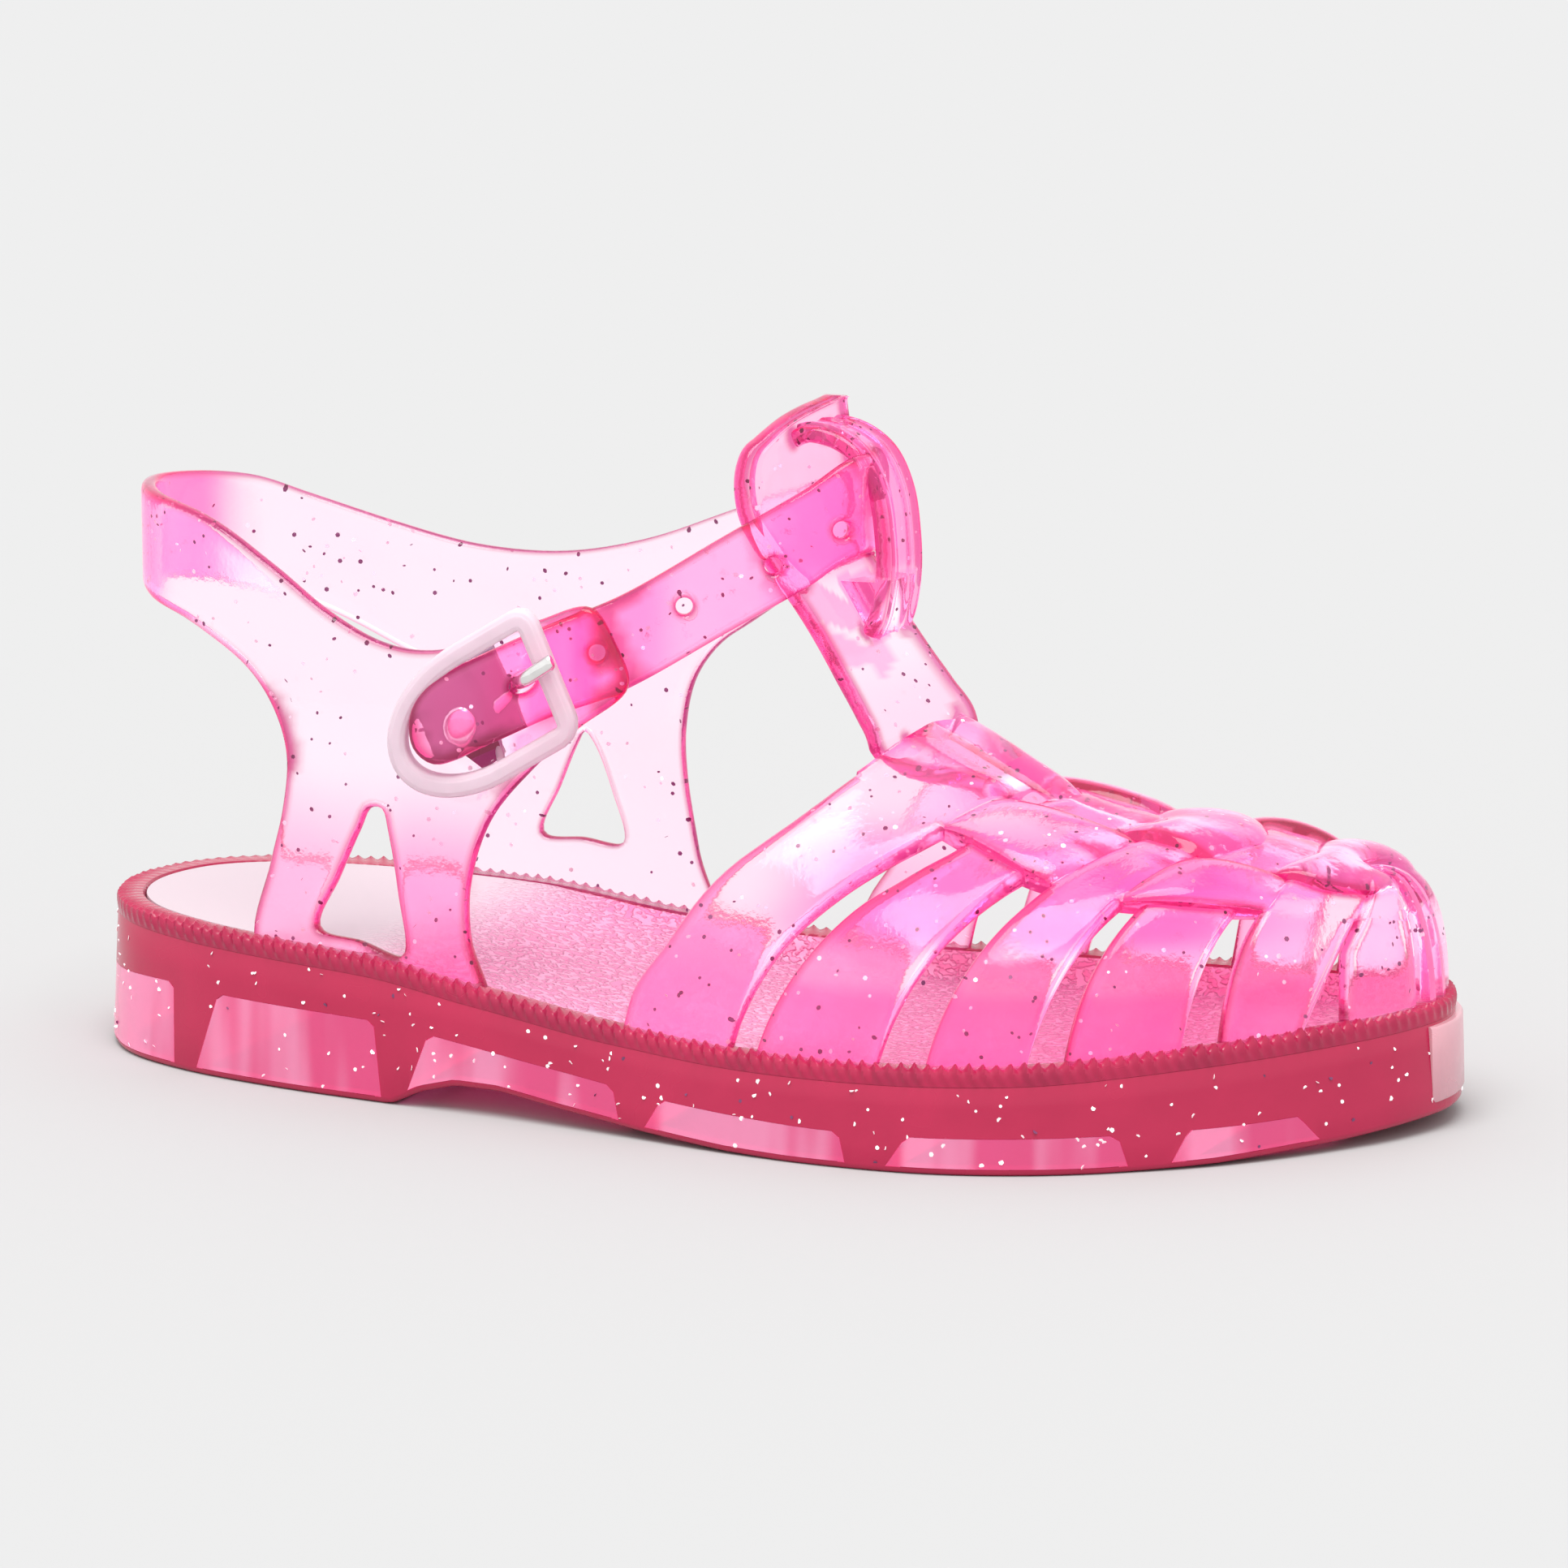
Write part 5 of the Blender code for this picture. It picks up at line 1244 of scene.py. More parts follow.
def pink_depth_group():
    """Pale to deep by the stored depth of the pink, with faint streaks of flow."""
    name = "pink_depth"
    if name in bpy.data.node_groups:
        return bpy.data.node_groups[name]
    tree, given, out = node_group(name, (("Pale", (1.0, 1.0, 1.0, 1.0)), ("Deep", (1.0, 0.4, 0.75, 1.0)),
                                         ("Streaks", 0.15)),
                                  (("Color", "NodeSocketColor"), ("Mask", "NodeSocketFloat")))
    link = tree.links.new
    place = add_node(tree, "ShaderNodeTexCoord")
    stored = add_node(tree, "ShaderNodeAttribute", {"attribute_name": "pink_depth"})
    streak = add_node(tree, "ShaderNodeTexNoise", {"noise_dimensions": "3D"}, {"Scale": 90.0, "Detail": 2.0})
    middle = add_node(tree, "ShaderNodeMath", {"operation": "SUBTRACT"}, {1: 0.5})
    wander = add_node(tree, "ShaderNodeMath", {"operation": "MULTIPLY"})
    mask = add_node(tree, "ShaderNodeMath", {"operation": "ADD", "use_clamp": True})
    mix = mix_colours(tree)
    link(place.outputs["Object"], streak.inputs["Vector"])
    link(streak.outputs["Fac"], middle.inputs[0])
    link(middle.outputs[0], wander.inputs[0])
    link(given.outputs["Streaks"], wander.inputs[1])
    link(stored.outputs["Fac"], mask.inputs[0])
    link(wander.outputs[0], mask.inputs[1])
    link(mask.outputs[0], mix.inputs[FACTOR])
    link(given.outputs["Pale"], mix.inputs[LOW])
    link(given.outputs["Deep"], mix.inputs[HIGH])
    link(mix.outputs[RESULT], out.inputs["Color"])
    link(mask.outputs[0], out.inputs["Mask"])
    return tree


def dash_grain_group():
    """Short pressed dashes along the foot, strong from the arch forwards."""
    name = "dash_grain"
    if name in bpy.data.node_groups:
        return bpy.data.node_groups[name]
    tree, given, out = node_group(name, (("Dash Scale", 1500.0), ("Starts At", -0.046), ("Ends At", -0.027)),
                                  (("Height", "NodeSocketFloat"), ("Mask", "NodeSocketFloat")))
    place = add_node(tree, "ShaderNodeTexCoord")
    stretch = add_node(tree, "ShaderNodeMapping", None, {"Scale": (0.8, 1.0, 1.0)})
    dash = add_node(tree, "ShaderNodeTexNoise", {"noise_dimensions": "3D"}, {"Detail": 1.0, "Roughness": 0.4})
    steep = add_node(tree, "ShaderNodeMapRange", {"interpolation_type": "SMOOTHSTEP"},
                     {"From Min": 0.42, "From Max": 0.60})
    parts = add_node(tree, "ShaderNodeSeparateXYZ")
    mask = add_node(tree, "ShaderNodeMapRange", {"interpolation_type": "SMOOTHSTEP"})
    product = add_node(tree, "ShaderNodeMath", {"operation": "MULTIPLY"})
    link = tree.links.new
    link(place.outputs["Object"], stretch.inputs["Vector"])
    link(stretch.outputs["Vector"], dash.inputs["Vector"])
    link(given.outputs["Dash Scale"], dash.inputs["Scale"])
    link(dash.outputs["Fac"], steep.inputs["Value"])
    link(place.outputs["Object"], parts.inputs["Vector"])
    link(parts.outputs["X"], mask.inputs["Value"])
    link(given.outputs["Starts At"], mask.inputs["From Min"])
    link(given.outputs["Ends At"], mask.inputs["From Max"])
    link(steep.outputs[0], product.inputs[0])
    link(mask.outputs[0], product.inputs[1])
    link(product.outputs[0], out.inputs["Height"])
    link(mask.outputs[0], out.inputs["Mask"])
    return tree


def place_group(tree, group, values):
    return add_node(tree, "ShaderNodeGroup", {"node_tree": group}, values)


def principled(name, values):
    """New material with its Principled shader set."""
    mat = bpy.data.materials.new(name)
    mat.use_nodes = True
    shader = mat.node_tree.nodes["Principled BSDF"]
    for key, value in values.items():
        shader.inputs[key].default_value = value
    return mat, mat.node_tree, shader


def bump_into(tree, shader, height_socket, distance, strength):
    bump = add_node(tree, "ShaderNodeBump", None, {"Distance": distance, "Strength": strength})
    tree.links.new(height_socket, bump.inputs["Height"])
    tree.links.new(bump.outputs["Normal"], shader.inputs["Normal"])


def vary_tint(tree, shader, tint, mask, spread):
    """Base colour that runs a little darker and lighter over the surface."""
    darker, lighter = [c * (1 - spread) for c in tint], [min(1.0, c * (1 + spread)) for c in tint]
    shade = mix_colours(tree, darker, lighter)
    tree.links.new(mask, shade.inputs[FACTOR])
    tree.links.new(shade.outputs[RESULT], shader.inputs["Base Color"])


def moulded_face(tree, shader, rough, distance, strength, wave=120.0):
    """Moulded surface whose roughness and bump drive the shader; rough is its low and high value."""
    face = place_group(tree, moulded_surface_group(), {"Wave Scale": wave, "Rough Low": rough[0],
                                                        "Rough High": rough[1]})
    tree.links.new(face.outputs["Roughness"], shader.inputs["Roughness"])
    bump_into(tree, shader, face.outputs["Height"], distance, strength)
    return face


def absorbing(tree, colour, density):
    """Plain absorption inside the body, so that thicker plastic is deeper in colour."""
    node = add_node(tree, "ShaderNodeVolumeAbsorption", None,
                    {"Color": (*colour, 1.0), "Density": density})
    tree.links.new(node.outputs["Volume"], tree.nodes["Material Output"].inputs["Volume"])


def jelly_material(name, pale, deep, edge, painted_glows, inner, density, roughness):
    """Clear tinted plastic, deeper at its edges; its glows, pale, deep and edge, are painted light: emission
    standing in for light carried inside.
    """
    mat, tree, shader = principled(name, {
        "IOR": JELLY_IOR, "Transmission Weight": 1.0, "Emission Strength": 1.0})
    moulded_face(tree, shader, (roughness * 0.6, roughness * 1.6), 0.0004, 0.25)
    depth = place_group(tree, pink_depth_group(), {"Pale": (*pale, 1.0), "Deep": (*deep, 1.0)})
    near_edge = add_node(tree, "ShaderNodeAttribute", {"attribute_name": "edge_tint"})
    # Painted glow: emission that runs from pale to deep with the pink and changes at the edges, light painted
    # into plastic that is no lamp
    glow = mix_colours(tree, painted_glows[0], painted_glows[1])
    tree.links.new(depth.outputs["Mask"], glow.inputs[FACTOR])
    for source, colour, target in ((glow.outputs[RESULT], painted_glows[2], "Emission Color"),
                                   (depth.outputs["Color"], edge, "Base Color")):
        mix = mix_colours(tree, None, colour)
        tree.links.new(near_edge.outputs["Fac"], mix.inputs[FACTOR])
        tree.links.new(source, mix.inputs[LOW])
        tree.links.new(mix.outputs[RESULT], shader.inputs[target])
    absorbing(tree, inner, density)
    mat.cycles.emission_sampling = "NONE"
    return mat


def core_material(name, tint, transmission=0.0, depth=None):
    """Deep plastic of the sole with a glossy moulded face; depth is the colour and density inside it."""
    mat, tree, shader = principled(name, {"IOR": JELLY_IOR, "Transmission Weight": transmission})
    face = moulded_face(tree, shader, (0.16, 0.30), 0.0003, 0.15)
    vary_tint(tree, shader, tint, face.outputs["Height"], 0.12)
    if depth:
        absorbing(tree, *depth)
    return mat


def streaked_material(name, pale, deep, glow, transmission, roughness):
    """Pink plastic with upright pale streaks: panes of the wall and the inside of the pockets; its glow is
    painted light, emission standing in for light let in through the wall.
    """
    mat, tree, shader = principled(name, {
        "IOR": JELLY_IOR, "Transmission Weight": transmission,
        "Emission Color": (*glow, 1.0), "Emission Strength": 1.0})
    moulded_face(tree, shader, (roughness * 0.7, roughness * 1.5), 0.0003, 0.2)
    place = add_node(tree, "ShaderNodeTexCoord")
    stretch = add_node(tree, "ShaderNodeMapping", None, {"Scale": (1.0, 0.6, 0.12)})
    streak = add_node(tree, "ShaderNodeTexNoise", {"noise_dimensions": "3D"}, {"Scale": 130.0, "Detail": 2.0})
    steep = add_node(tree, "ShaderNodeMapRange", {"interpolation_type": "SMOOTHSTEP"},
                     {"From Min": 0.40, "From Max": 0.62})
    shade = mix_colours(tree, deep, pale)
    link = tree.links.new
    link(place.outputs["Object"], stretch.inputs["Vector"])
    link(stretch.outputs["Vector"], streak.inputs["Vector"])
    link(streak.outputs["Fac"], steep.inputs["Value"])
    link(steep.outputs[0], shade.inputs[FACTOR])
    link(shade.outputs[RESULT], shader.inputs["Base Color"])
    return mat


def footbed_material(pale, deep, wall, grain):
    """Footbed: smooth and pale at the heel, pink and grained from the arch on, deep at its raised border."""
    mat, tree, shader = principled("footbed_jelly", {"IOR": JELLY_IOR})
    face = place_group(tree, dash_grain_group(), {})
    rough = add_node(tree, "ShaderNodeMapRange", None, {"To Min": 0.12, "To Max": 0.32})
    raised = add_node(tree, "ShaderNodeAttribute", {"attribute_name": "raised_border"})
    shade, border = mix_colours(tree, pale, deep), mix_colours(tree, None, wall)
    speck = mix_colours(tree, None, grain)
    speck.blend_type = "MULTIPLY"
    link = tree.links.new
    link(face.outputs["Mask"], shade.inputs[FACTOR])
    link(raised.outputs["Fac"], border.inputs[FACTOR])
    link(shade.outputs[RESULT], border.inputs[LOW])
    link(face.outputs["Height"], speck.inputs[FACTOR])
    link(border.outputs[RESULT], speck.inputs[LOW])
    link(speck.outputs[RESULT], shader.inputs["Base Color"])
    link(face.outputs["Mask"], rough.inputs["Value"])
    link(rough.outputs[0], shader.inputs["Roughness"])
    bump_into(tree, shader, face.outputs["Height"], 0.0005, 0.7)
    return mat


def frosted_material(name, tint):
    """Milky plastic of the buckle."""
    mat, tree, shader = principled(name, {
        "IOR": JELLY_IOR, "Transmission Weight": 0.35, "Subsurface Weight": 0.4,
        "Subsurface Radius": (0.002, 0.0016, 0.0018), "Subsurface Scale": 1.0})
    face = moulded_face(tree, shader, (0.32, 0.5), 0.0002, 0.2, wave=300.0)
    vary_tint(tree, shader, tint, face.outputs["Height"], 0.06)
    return mat


def wire_material(name, tint, rough_low, rough_high):
    """Plated wire with fine drawing marks."""
    mat, tree, shader = principled(name, {"Metallic": 1.0})
    face = moulded_face(tree, shader, (rough_low, rough_high), 0.0001, 0.3, wave=700.0)
    vary_tint(tree, shader, tint, face.outputs["Height"], 0.1)
    return mat


def flake_material(name, tint, metallic, roughness, glow):
    """Glitter flake; the bright ones glow a little, a painted glint standing in for flakes turned to the
    light.
    """
    mat, tree, shader = principled(name, {
        "Base Color": (*tint, 1.0), "Metallic": metallic, "Emission Strength": glow})
    place = add_node(tree, "ShaderNodeTexCoord")
    vary = add_node(tree, "ShaderNodeTexNoise", {"noise_dimensions": "3D"}, {"Scale": 900.0, "Detail": 0.0})
    rough = add_node(tree, "ShaderNodeMapRange", None, {"To Min": roughness * 0.5, "To Max": roughness * 1.5})
    shade = mix_colours(tree, [c * 0.75 for c in tint], tint)
    link = tree.links.new
    link(place.outputs["Object"], vary.inputs["Vector"])
    link(vary.outputs["Fac"], rough.inputs["Value"])
    link(rough.outputs[0], shader.inputs["Roughness"])
    link(vary.outputs["Fac"], shade.inputs[FACTOR])
    for target in ("Base Color", "Emission Color"):
        link(shade.outputs[RESULT], shader.inputs[target])
    return mat


# Settings
LENGTH = {"unit": "LENGTH", "precision": 4}
COLOUR = {"subtype": "COLOR", "min": 0.0, "max": 1.0}


class JellySizes(PropertyGroup):
    """Sizes of the moulding and its glitter."""

    wall: FloatProperty(name="Wall", description="Thickness of the moulded straps",
                        default=0.002, min=0.0005, **LENGTH)
    edge: FloatProperty(name="Edge", description="Rounding of the strap edges",
                        default=0.001, min=0.0001, **LENGTH)
    crown: FloatProperty(name="Crown", description="Rounding of the strap tops",
                         default=0.0005, min=0.0, **LENGTH)
    rise: FloatProperty(name="Weave rise", description="Climb of a lengthwise strip over a cross strap",
                        default=0.0023, min=0.0, **LENGTH)
    sink: FloatProperty(name="Weave sink", description="Depth of a lengthwise strip under its neighbours",
                        default=0.0009, min=0.0, **LENGTH)
    mesh_step: FloatProperty(name="Mesh step", description="Space between points of the ankle sheet",
                             default=0.0013, min=0.0004, **LENGTH)
    tooth_pitch: FloatProperty(name="Tooth pitch", description="Space between teeth of the knurled edge",
                               default=0.0016, min=0.0005, **LENGTH)
    tooth_depth: FloatProperty(name="Tooth depth", description="Height of the teeth",
                               default=0.00075, min=0.0, **LENGTH)
    tooth_slant: FloatProperty(name="Tooth slant", description="Shift of a tooth per row of the edge",
                               default=0.11)
    flake_radius: FloatProperty(name="Flake radius", description="Usual radius of a glitter flake",
                                default=0.00025, min=0.0001, unit="LENGTH", precision=5)
    flakes_upper: IntProperty(name="Flakes in the upper", description="Glitter flakes in the straps",
                              default=1100, min=0)
    flakes_sole: IntProperty(name="Flakes in the sole", description="Glitter flakes in the sole",
                             default=360, min=0)
    seed: IntProperty(name="Seed", description="Start of the random places of the glitter", default=7)


class JellyColours(PropertyGroup):
    """Colours of the plastics, the metal and the glitter."""

    upper_pale: FloatVectorProperty(name="Upper, pale", description="Colour at the face of thin walls",
                                    default=(1.0, 1.0, 1.0), **COLOUR)
    upper_deep: FloatVectorProperty(
        name="Upper, deep", description="Colour at the face of the pinkest straps",
        default=(1.0, 0.29, 0.62), **COLOUR)
    # The three upper glows are painted light: emission standing in for light carried inside the straps
    upper_painted_glow_deep: FloatVectorProperty(
        name="Upper glow, deep", description="Light carried inside deep straps",
        default=(0.20, 0.018, 0.070), **COLOUR)
    upper_painted_glow_edge: FloatVectorProperty(name="Upper glow, edges", description="Light carried inside edges",
                                         default=(0.05, 0.004, 0.016), **COLOUR)
    upper_painted_glow: FloatVectorProperty(name="Upper glow", description="Light carried inside the straps",
                                    default=(0.10, 0.017, 0.062), **COLOUR)
    upper_inner: FloatVectorProperty(name="Upper inside", description="Colour that thick straps turn to",
                                     default=(1.0, 0.0, 0.70), **COLOUR)
    upper_density: FloatProperty(name="Upper density", description="Strength of the colour inside the straps",
                                 default=15.0, min=0.0)
    upper_edge: FloatVectorProperty(name="Upper edges", description="Colour at the edges of the straps",
                                    default=(0.66, 0.05, 0.22), **COLOUR)
    core_tint: FloatVectorProperty(name="Sole core", description="Colour of the solid part of the sole",
                                   default=(0.44, 0.013, 0.065), **COLOUR)
    welt_tint: FloatVectorProperty(name="Knurled edge", description="Colour of the knurled edge",
                                   default=(0.48, 0.017, 0.080), **COLOUR)
    pane_pale: FloatVectorProperty(name="Panes, pale", description="Pale streaks in the panes of the wall",
                                   default=(0.92, 0.40, 0.62), **COLOUR)
    pane_deep: FloatVectorProperty(name="Panes, deep", description="Colour of the panes of the wall",
                                   default=(0.80, 0.11, 0.29), **COLOUR)
    # Painted glow of the panes: emission standing in for light let in through them
    pane_painted_glow: FloatVectorProperty(name="Pane glow", description="Light carried inside the panes",
                                   default=(0.10, 0.008, 0.03), **COLOUR)
    pocket_pale: FloatVectorProperty(name="Pockets, pale", description="Pale streaks inside the pockets",
                                     default=(0.95, 0.45, 0.64), **COLOUR)
    pocket_deep: FloatVectorProperty(
        name="Pockets, deep", description="Colour of the inside of the pockets",
        default=(0.85, 0.12, 0.30), **COLOUR)
    # Painted glow of the pockets: emission standing in for light let in through the panes
    pocket_painted_glow: FloatVectorProperty(name="Pocket glow", description="Light carried into the pockets",
                                     default=(0.26, 0.035, 0.10), **COLOUR)
    bumper_tint: FloatVectorProperty(name="Bumper", description="Colour of the pad at the toe",
                                     default=(0.86, 0.45, 0.52), **COLOUR)
    core_inner: FloatVectorProperty(name="Sole inside", description="Colour that the thick sole turns to",
                                    default=(0.95, 0.0, 0.40), **COLOUR)
    core_density: FloatProperty(name="Sole density", description="Strength of the colour inside the sole",
                                default=120.0, min=0.0)
    footbed_pale: FloatVectorProperty(name="Footbed, heel", description="Colour of the footbed at the heel",
                                      default=(0.53, 0.41, 0.46), **COLOUR)
    footbed_deep: FloatVectorProperty(
        name="Footbed, front", description="Colour of the footbed at the toes",
        default=(0.78, 0.31, 0.50), **COLOUR)
    footbed_wall: FloatVectorProperty(
        name="Footbed border", description="Colour of the footbed's raised border",
        default=(0.94, 0.30, 0.52), **COLOUR)
    footbed_grain: FloatVectorProperty(name="Footbed grain", description="Tint of the pressed grain",
                                       default=(0.92, 0.66, 0.80), **COLOUR)
    # The tail's tint is the milky buckle plastic darkened, painted shade under the strap
    tail_shaded_tint: FloatVectorProperty(
        name="Tail tint", description="Colour of the buckle's tail under the strap",
        default=(0.42, 0.30, 0.40), **COLOUR)
    # The keeper's tint is painted shadow, the dark colour of a block that stands for shade under the strap
    keeper_shadow_tint: FloatVectorProperty(name="Keeper tint", description="Colour of the keeper under the strap",
                                     default=(0.26, 0.03, 0.09), **COLOUR)
    buckle_tint: FloatVectorProperty(name="Buckle tint", description="Colour of the milky buckle",
                                     default=(0.90, 0.74, 0.82), **COLOUR)
    wire_tint: FloatVectorProperty(name="Wire tint", description="Colour of the prong and rivet",
                                   default=(0.80, 0.79, 0.78), **COLOUR)
    # Bright and dark flakes are lit and shaded copies of one glitter: painted glint and painted shade
    glint_flake_tint: FloatVectorProperty(
        name="Bright flakes", description="Colour of the flakes that catch light",
        default=(1.0, 0.95, 0.97), **COLOUR)
    shaded_flake_tint: FloatVectorProperty(name="Dark flakes", description="Colour of the flakes that face away",
                                    default=(0.22, 0.06, 0.16), **COLOUR)


class JellyStage(PropertyGroup):
    """Camera, floor and light."""

    azimuth: FloatProperty(name="Azimuth", description="Turn of the camera from the outer side to the toe",
                           default=math.radians(27.0), subtype="ANGLE")
    elevation: FloatProperty(name="Elevation", description="Height of the camera over the floor",
                             default=math.radians(12.0), subtype="ANGLE")
    roll: FloatProperty(name="Roll", description="Turn of the picture",
                        default=math.radians(-0.5), subtype="ANGLE")
    distance: FloatProperty(name="Distance", description="Camera to the shoe", default=1.3, unit="LENGTH")
    target: FloatVectorProperty(name="Target", description="Point that the camera looks at",
                                default=(0.00128, 0.00206, 0.030), subtype="XYZ")
    lens: FloatProperty(name="Lens", description="Focal length on a 36 mm sensor", default=252.48)
    shift: FloatVectorProperty(name="Shift", description="Framing of the photograph",
                               size=2, default=(16 / 1932, 59 / 1932))
    floor_tint: FloatVectorProperty(name="Floor", description="Colour of the floor",
                                    default=(0.468, 0.468, 0.468), **COLOUR)
    sky: FloatProperty(name="Sky", description="Strength of the even light all round",
                       default=1.12, min=0.0)
    key: FloatProperty(name="Key light", description="Strength of the soft light overhead",
                       default=2.4, min=0.0)
    softness: FloatProperty(name="Softness", description="Spread of the light overhead",
                            default=math.radians(42.0), subtype="ANGLE")


class JELLY_OT_upper(Operator):
    """Build the moulded upper: welt, woven cage, T-bar, loop, quarters and strap in one wall"""

    bl_idname = "jelly.upper"
    bl_label = "Moulded upper"

    def execute(self, context):
        sizes, colours = context.scene.jelly_sizes, context.scene.jelly_colours
        wall, edge = sizes.wall / MM, sizes.edge / MM
        relief = (sizes.crown / MM, sizes.rise / MM, sizes.sink / MM)
        shape, edges = woven_cage(wall, relief, edge)
        body = new_mesh_object("upper_jelly", *shape)
        edges = [edges]
        for name, (shape, border) in (("tbar", tbar_strip(wall)), ("loop", loop_strip(wall)),
                                      ("ankle", ankle_sheet(wall, edge, sizes.mesh_step / MM))):
            boolean(body, new_mesh_object(name, *shape), "UNION")
            edges.append(border)
        boolean(body, new_mesh_object("gusset", *loop_gusset()), "UNION")
        # Painted glows of the straps
        painted_glows = (colours.upper_painted_glow, colours.upper_painted_glow_deep, colours.upper_painted_glow_edge)
        jelly = jelly_material("upper_jelly", colours.upper_pale, colours.upper_deep, colours.upper_edge,
                               painted_glows, colours.upper_inner, colours.upper_density, 0.07)
        finish_piece(body, (jelly,), "upper", 42)
        paint_upper(body.data, np.vstack(edges))
        welt = new_mesh_object("knurled_welt", *knurled_welt(sizes.tooth_pitch / MM, sizes.tooth_depth / MM,
                                                             sizes.tooth_slant))
        depth = (colours.core_inner, colours.core_density)
        knurl = core_material("knurled_edge", colours.welt_tint, 0.2, depth)
        finish_piece(welt, (knurl,), None, 40)
        return {"FINISHED"}


class JELLY_OT_sole(Operator):
    """Build the sole with its pockets underneath"""

    bl_idname = "jelly.sole"
    bl_label = "Sole"

    def execute(self, context):
        colours = context.scene.jelly_colours
        body = new_mesh_object("sole_jelly", *sole_core())
        for cutter in (*sole_pockets(), *sole_windows(0.0)):
            boolean(body, new_mesh_object("pocket", *cutter), "DIFFERENCE")
        crimson = core_material("sole_core", colours.core_tint)
        # Painted glow in the pockets
        pink = streaked_material("sole_pockets", colours.pocket_pale, colours.pocket_deep,
                                 colours.pocket_painted_glow, 0.0, 0.25)
        finish_piece(body, (crimson, pink), "sole", 35)
        mesh = body.data
        centres = np.empty(len(mesh.polygons) * 3)
        mesh.polygons.foreach_get("center", centres)
        centres = centres.reshape(-1, 3) / MM + FRAME_SHIFT
        deep_in = distance_to(centres[:, :2], RIM_LOOP[::6]) > SKIRT + 0.3
        x, z = centres[:, 0], centres[:, 2]
        pocket = deep_in & (z > ground_z(x) + 0.3) & (z < skirt_z(x) + POCKET_RELIEF + 0.05)
        mesh.polygons.foreach_set("material_index", pocket.astype(np.int32))
        # Painted glow in the panes
        clear = streaked_material("window_panes", colours.pane_pale, colours.pane_deep, colours.pane_painted_glow,
                                  0.5, 0.09)
        finish_piece(window_panes(), (clear,), None, 40)
        depth = (colours.core_inner, colours.core_density)
        pad = core_material("toe_bumper", colours.bumper_tint, 0.3, depth)
        finish_piece(new_mesh_object("toe_bumper", *toe_bumper()), (pad,), None, 40)
        return {"FINISHED"}


class JELLY_OT_footbed(Operator):
    """Build the footbed plate inside the rim"""

    bl_idname = "jelly.footbed"
    bl_label = "Footbed"

    def execute(self, context):
        colours = context.scene.jelly_colours
        body = new_mesh_object("footbed_jelly", *footbed_bowl())
        jelly = footbed_material(colours.footbed_pale, colours.footbed_deep, colours.footbed_wall,
                                 colours.footbed_grain)
        finish_piece(body, (jelly,), "insole", 40)
        points = working_points(body.data)
        x, z = points[:, 0], points[:, 2]
        store(body.data, "raised_border", ramp(z - bed_z(x), 0.15, 0.8))
        return {"FINISHED"}


class JELLY_OT_buckle(Operator):
    """Build the milky buckle with its bar, the wire prong, and the tail plate and rivet under the strap"""

    bl_idname = "jelly.buckle"
    bl_label = "Buckle"

    def execute(self, context):
        colours = context.scene.jelly_colours
        frosted = frosted_material("buckle_frosted", colours.buckle_tint)
        ring = new_mesh_object("buckle_ring", *buckle_frame())
        boolean(ring, new_mesh_object("crossbar", *buckle_crossbar()), "UNION")
        finish_piece(ring, (frosted,), "buckle_frame", 40)
        wire = wire_material("prong_wire", colours.wire_tint, 0.12, 0.25)
        prong = new_mesh_object("prong_wire", *buckle_prong())
        finish_piece(prong, (wire,), "buckle_prong", 50)
        # Darker copy of the buckle's plastic: painted shade under the strap
        milky = frosted_material("tail_frosted_shaded", colours.tail_shaded_tint)
        finish_piece(new_mesh_object("buckle_tail", *buckle_tail()), (milky,), None, 40)
        # Painted shadow: a dark block where the tab and loop throw shade
        dull = core_material("keeper_painted_shadow", colours.keeper_shadow_tint)
        finish_piece(new_mesh_object("keeper_shadow_block", *keeper_shadow_block()), (dull,), None, 40)
        finish_piece(new_mesh_object("rivet_dome", *rivet_dome()), (wire,), None, 60)
        return {"FINISHED"}


def flakes_in_walls(draw, count):
    """Places and outward directions of flakes just inside the upper's faces."""
    wall = bpy.data.objects.get("upper_jelly")
    if wall is None:
        raise RuntimeError("build the upper before its glitter")
    mesh = wall.data
    mesh.calc_loop_triangles()
    tris = np.empty(len(mesh.loop_triangles) * 3, int)
    mesh.loop_triangles.foreach_get("vertices", tris)
    corner = coordinates(mesh)[tris.reshape(-1, 3)]
    normal = np.cross(corner[:, 1] - corner[:, 0], corner[:, 2] - corner[:, 0])
    area = np.linalg.norm(normal, axis=1)
    pick = draw.choice(len(area), count, p=area / area.sum())
    weight = draw.random((count, 2))
    fold = weight.sum(1) > 1
    weight[fold] = 1 - weight[fold]
    base = corner[pick, 0] + weight[:, :1] * (corner[pick, 1] - corner[pick, 0])
    base = base + weight[:, 1:] * (corner[pick, 2] - corner[pick, 0])
    out = normal[pick] / area[pick][:, None]
    return base - out * (MM * (0.25 + 0.6 * draw.random(count)))[:, None], out


def flakes_on_sole(draw, count):
    """Places and outward directions of flakes in the skin of the sole's wall."""
    low, high = wall_loop(lambda x: ground_z(x) + 1.0), wall_loop(lambda x: ledge_z(x) - 0.3)
    out = np.column_stack([-ring_normals(low[:, :2]), np.zeros(len(low))])
    pick = draw.integers(0, len(low), count)
    after = (pick + 1) % len(low)
    side, up = draw.random((count, 1)), draw.random((count, 1))
    foot = low[pick] * (1 - side) + low[after] * side
    head = high[pick] * (1 - side) + high[after] * side
    return metres(foot * (1 - up) + head * up + out[pick] * 0.02), out[pick]


